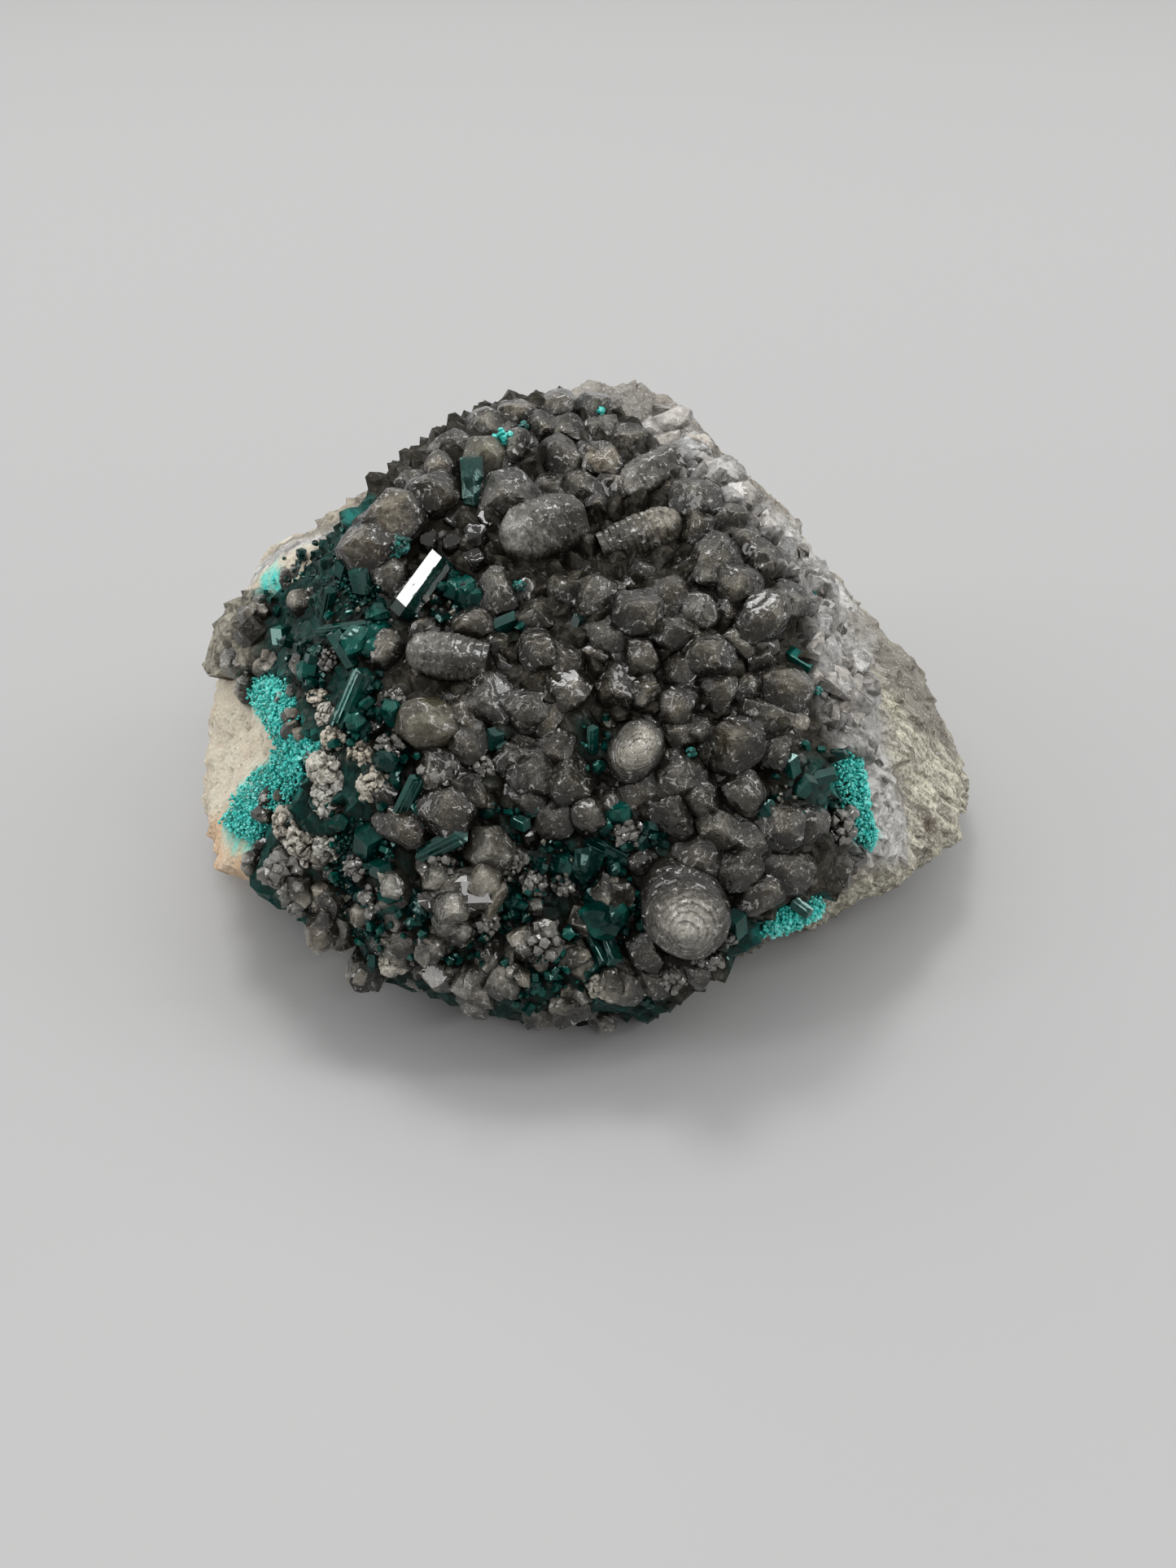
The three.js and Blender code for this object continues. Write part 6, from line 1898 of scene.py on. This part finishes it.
class SPECIMEN_OT_materials(Operator):
    """Makes the materials from the colour settings"""

    bl_idname = "specimen.materials"
    bl_label = "Materials"

    def execute(self, context):
        own = settings()
        gem = own.gem
        grain = stone_grain()
        facets = crystal_facets()
        groups = {"growth": growth_lines(), "facets": facets}
        calcite_material("Smoky calcite", own.calcite, 0.4, 0.08, 0.35, 0.85, 1.1, 0.34, groups, 0.6, (1.2, 1.25, 0.86))
        calcite_material("Pale calcite", own.frosted, 0.6, 0.2, 0.25, 0.5, 0.8, 0.4, groups, 0.5, (0.9, 1.3, 0.7))
        calcite_material("Clear calcite", own.clear, 0.3, 0.12, 0.35, 0.5, 1.6, 0.2, groups, 0.6, (0.6, 1.2, 0.45))
        calcite_material("Terraced calcite", own.terraced, 0.6, 0.25, 0.2, 0.6, 0.6, 0.3, groups, 0.5, (1.2, 0.6, 0.42))
        calcite_material("Milky calcite", own.milky, 0.9, 0.4, 0.1, 0.15, 0.45, 0.6, groups, 0.35, (0.8, 1.5, 0.45))
        calcite_material("Frosted calcite", own.frosted, 0.7, 0.12, 0.3, 0.4, 0.9, 0.5, groups, 0.5, (1.0, 1.2, 0.5))
        calcite_material("Glassy calcite", own.calcite, 0.1, 0.04, 0.6, 0.3, 2.0, 0.01, groups, 0.4, (0.5, 0.8, 0.6))
        calcite_material("Spar", own.spar, 0.8, 0.2, 0.25, 0.25, 0.6, 0.7, groups, 0.6)
        clear_material("Clear grains", own.clear, facets)
        clear_material("White grains", own.milky, facets)
        bed_material(own.calcite, gem, own.stone, groups)
        dioptase_material("Dioptase", gem, gem.body, 0.65, 0.07, 180.0, facets, 0.04, 0.1, 0.5)
        dioptase_material(
            "Clear dioptase", gem, gem.bright, 0.75, 0.03, 120.0, facets, 0.03, 0.0, 0.5, (1.0, 1.0, 1.0, 1.0)
        )
        dioptase_material("Dark dioptase", gem, gem.inner, 0.85, 0.15, 260.0, facets, 0.35, 0.3, 0.05)
        # A lighter, more opaque copy of the dioptase for the rim prisms, as painted light
        dioptase_material("Lit dioptase", gem, gem.painted_lit, 0.3, 0.12, 60.0, facets, 0.1, 0.0)
        dioptase_material("Dioptase grains", gem, gem.inner, 0.6, 0.06, 160.0, facets, 0.3, 0.4)
        druse_material("Turquoise druse", gem.druse_dark, gem.druse, gem.druse_pale, facets)
        druse_material("Teal druse", gem.shade, gem.teal, gem.druse, facets)
        rock_material(own.stone, gem, grain, facets)
        return {"FINISHED"}


class SPECIMEN_OT_stage(Operator):
    """Builds the floor, the soft lights and the camera"""

    bl_idname = "specimen.stage"
    bl_label = "Stage"

    def execute(self, context):
        own = settings()
        self.floor(own)
        self.world()
        self.softbox("Main panel", tuple(MAIN_PANEL * MM), (0.33, 0.26), 3.7)
        self.softbox("Wide overhead panel", (0.1, 0.0, 1.6), (1.6, 1.6), 4.2)
        self.softbox("Left strip", (-0.95, -0.3, 0.9), (0.2, 1.0), 3.8)
        self.softbox("Front strip", (0.4, -0.95, 1.2), (0.8, 0.1), 2.8)
        self.softbox("Right strip", (0.95, 0.0, 0.9), (0.14, 0.9), 3.6)
        self.camera(own)
        context.scene.view_settings.view_transform = "Standard"
        return {"FINISHED"}

    def floor(self, own):
        """A plain pale floor."""
        half = own.floor_width / 2
        mesh = bpy.data.meshes.new("floor")
        mesh.from_pydata([(-half, -half, 0), (half, -half, 0), (half, half, 0), (-half, half, 0)], [], [(0, 1, 2, 3)])
        floor = bpy.data.objects.new("floor", mesh)
        bpy.context.scene.collection.objects.link(floor)
        material, _, shader = new_material("Pale floor")
        shader.inputs["Base Color"].default_value = colour(own.floor_tone)
        shader.inputs["Roughness"].default_value = 0.5
        mesh.materials.append(material)

    def world(self):
        """A white surround that is dim on the camera's side."""
        world = bpy.data.worlds.new("Surround")
        world.use_nodes = True
        tree = world.node_tree
        way = add_node(tree, "ShaderNodeTexCoord").outputs["Generated"]
        to_eye = tuple(float(value) for value in unit(EYE))
        towards = add_node(tree, "ShaderNodeVectorMath", {0: way, 1: to_eye}, operation="DOT_PRODUCT").outputs["Value"]
        shown = mixed_colour(tree, range_value(tree, towards, 0.35, 0.85), (1.0, 1.0, 0.99, 1.0), (0.32, 0.32, 0.32, 1.0))
        background = tree.nodes["Background"]
        tree.links.new(shown, background.inputs["Color"])
        background.inputs["Strength"].default_value = 1.04
        bpy.context.scene.world = world

    def softbox(self, name, place, sides, power):
        """A long area light that faces the specimen."""
        light = bpy.data.lights.new(name, "AREA")
        light.shape = "RECTANGLE"
        light.size, light.size_y = sides
        light.energy = power
        lamp = bpy.data.objects.new(name, light)
        lamp.location = place
        lamp.rotation_euler = Vector(place).to_track_quat("Z", "Y").to_euler()
        bpy.context.scene.collection.objects.link(lamp)

    def camera(self, own):
        """A camera at the eye that the crystals are placed by."""
        lens = bpy.data.cameras.new("Camera")
        lens.lens = own.lens
        lens.sensor_width = 36.0
        lens.clip_start = 0.01
        camera = bpy.data.objects.new("Camera", lens)
        camera.location = EYE * MM
        camera.rotation_euler = (math.pi / 2 - SIGHT_PITCH, 0, 0)
        bpy.context.scene.collection.objects.link(camera)
        bpy.context.scene.camera = camera


class SPECIMEN_PT_panel(Panel):
    """Lists the steps that build the specimen"""

    bl_idname = "SPECIMEN_PT_panel"
    bl_label = "Dioptase specimen"
    bl_space_type = "VIEW_3D"
    bl_region_type = "UI"
    bl_category = "Specimen"

    def draw(self, context):
        for step in STEPS:
            self.layout.operator(step.bl_idname)


STEPS = (
    SPECIMEN_OT_materials,
    SPECIMEN_OT_host_rock,
    SPECIMEN_OT_calcite_bed,
    SPECIMEN_OT_calcites,
    SPECIMEN_OT_lying_calcites,
    SPECIMEN_OT_small_calcites,
    SPECIMEN_OT_spar,
    SPECIMEN_OT_popcorn,
    SPECIMEN_OT_dioptases,
    SPECIMEN_OT_druse,
    SPECIMEN_OT_paste,
    SPECIMEN_OT_green_masses,
    SPECIMEN_OT_grains,
    SPECIMEN_OT_spots,
    SPECIMEN_OT_clusters,
    SPECIMEN_OT_stage,
)
CLASSES = (
    CalciteTones, ClearTones, TerracedTones, FrostedTones, SparTones, MilkyTones, GemTones, StoneTones,
    SpecimenSettings, *STEPS, SPECIMEN_PT_panel,
)


def register():
    for cls in CLASSES:
        bpy.utils.register_class(cls)
    bpy.types.Scene.specimen = PointerProperty(type=SpecimenSettings)


def unregister():
    del bpy.types.Scene.specimen
    for cls in reversed(CLASSES):
        bpy.utils.unregister_class(cls)


def main():
    """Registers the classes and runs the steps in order."""
    register()
    for step in STEPS:
        section, name = step.bl_idname.split(".")
        getattr(getattr(bpy.ops, section), name)()


if __name__ == "__main__":
    main()
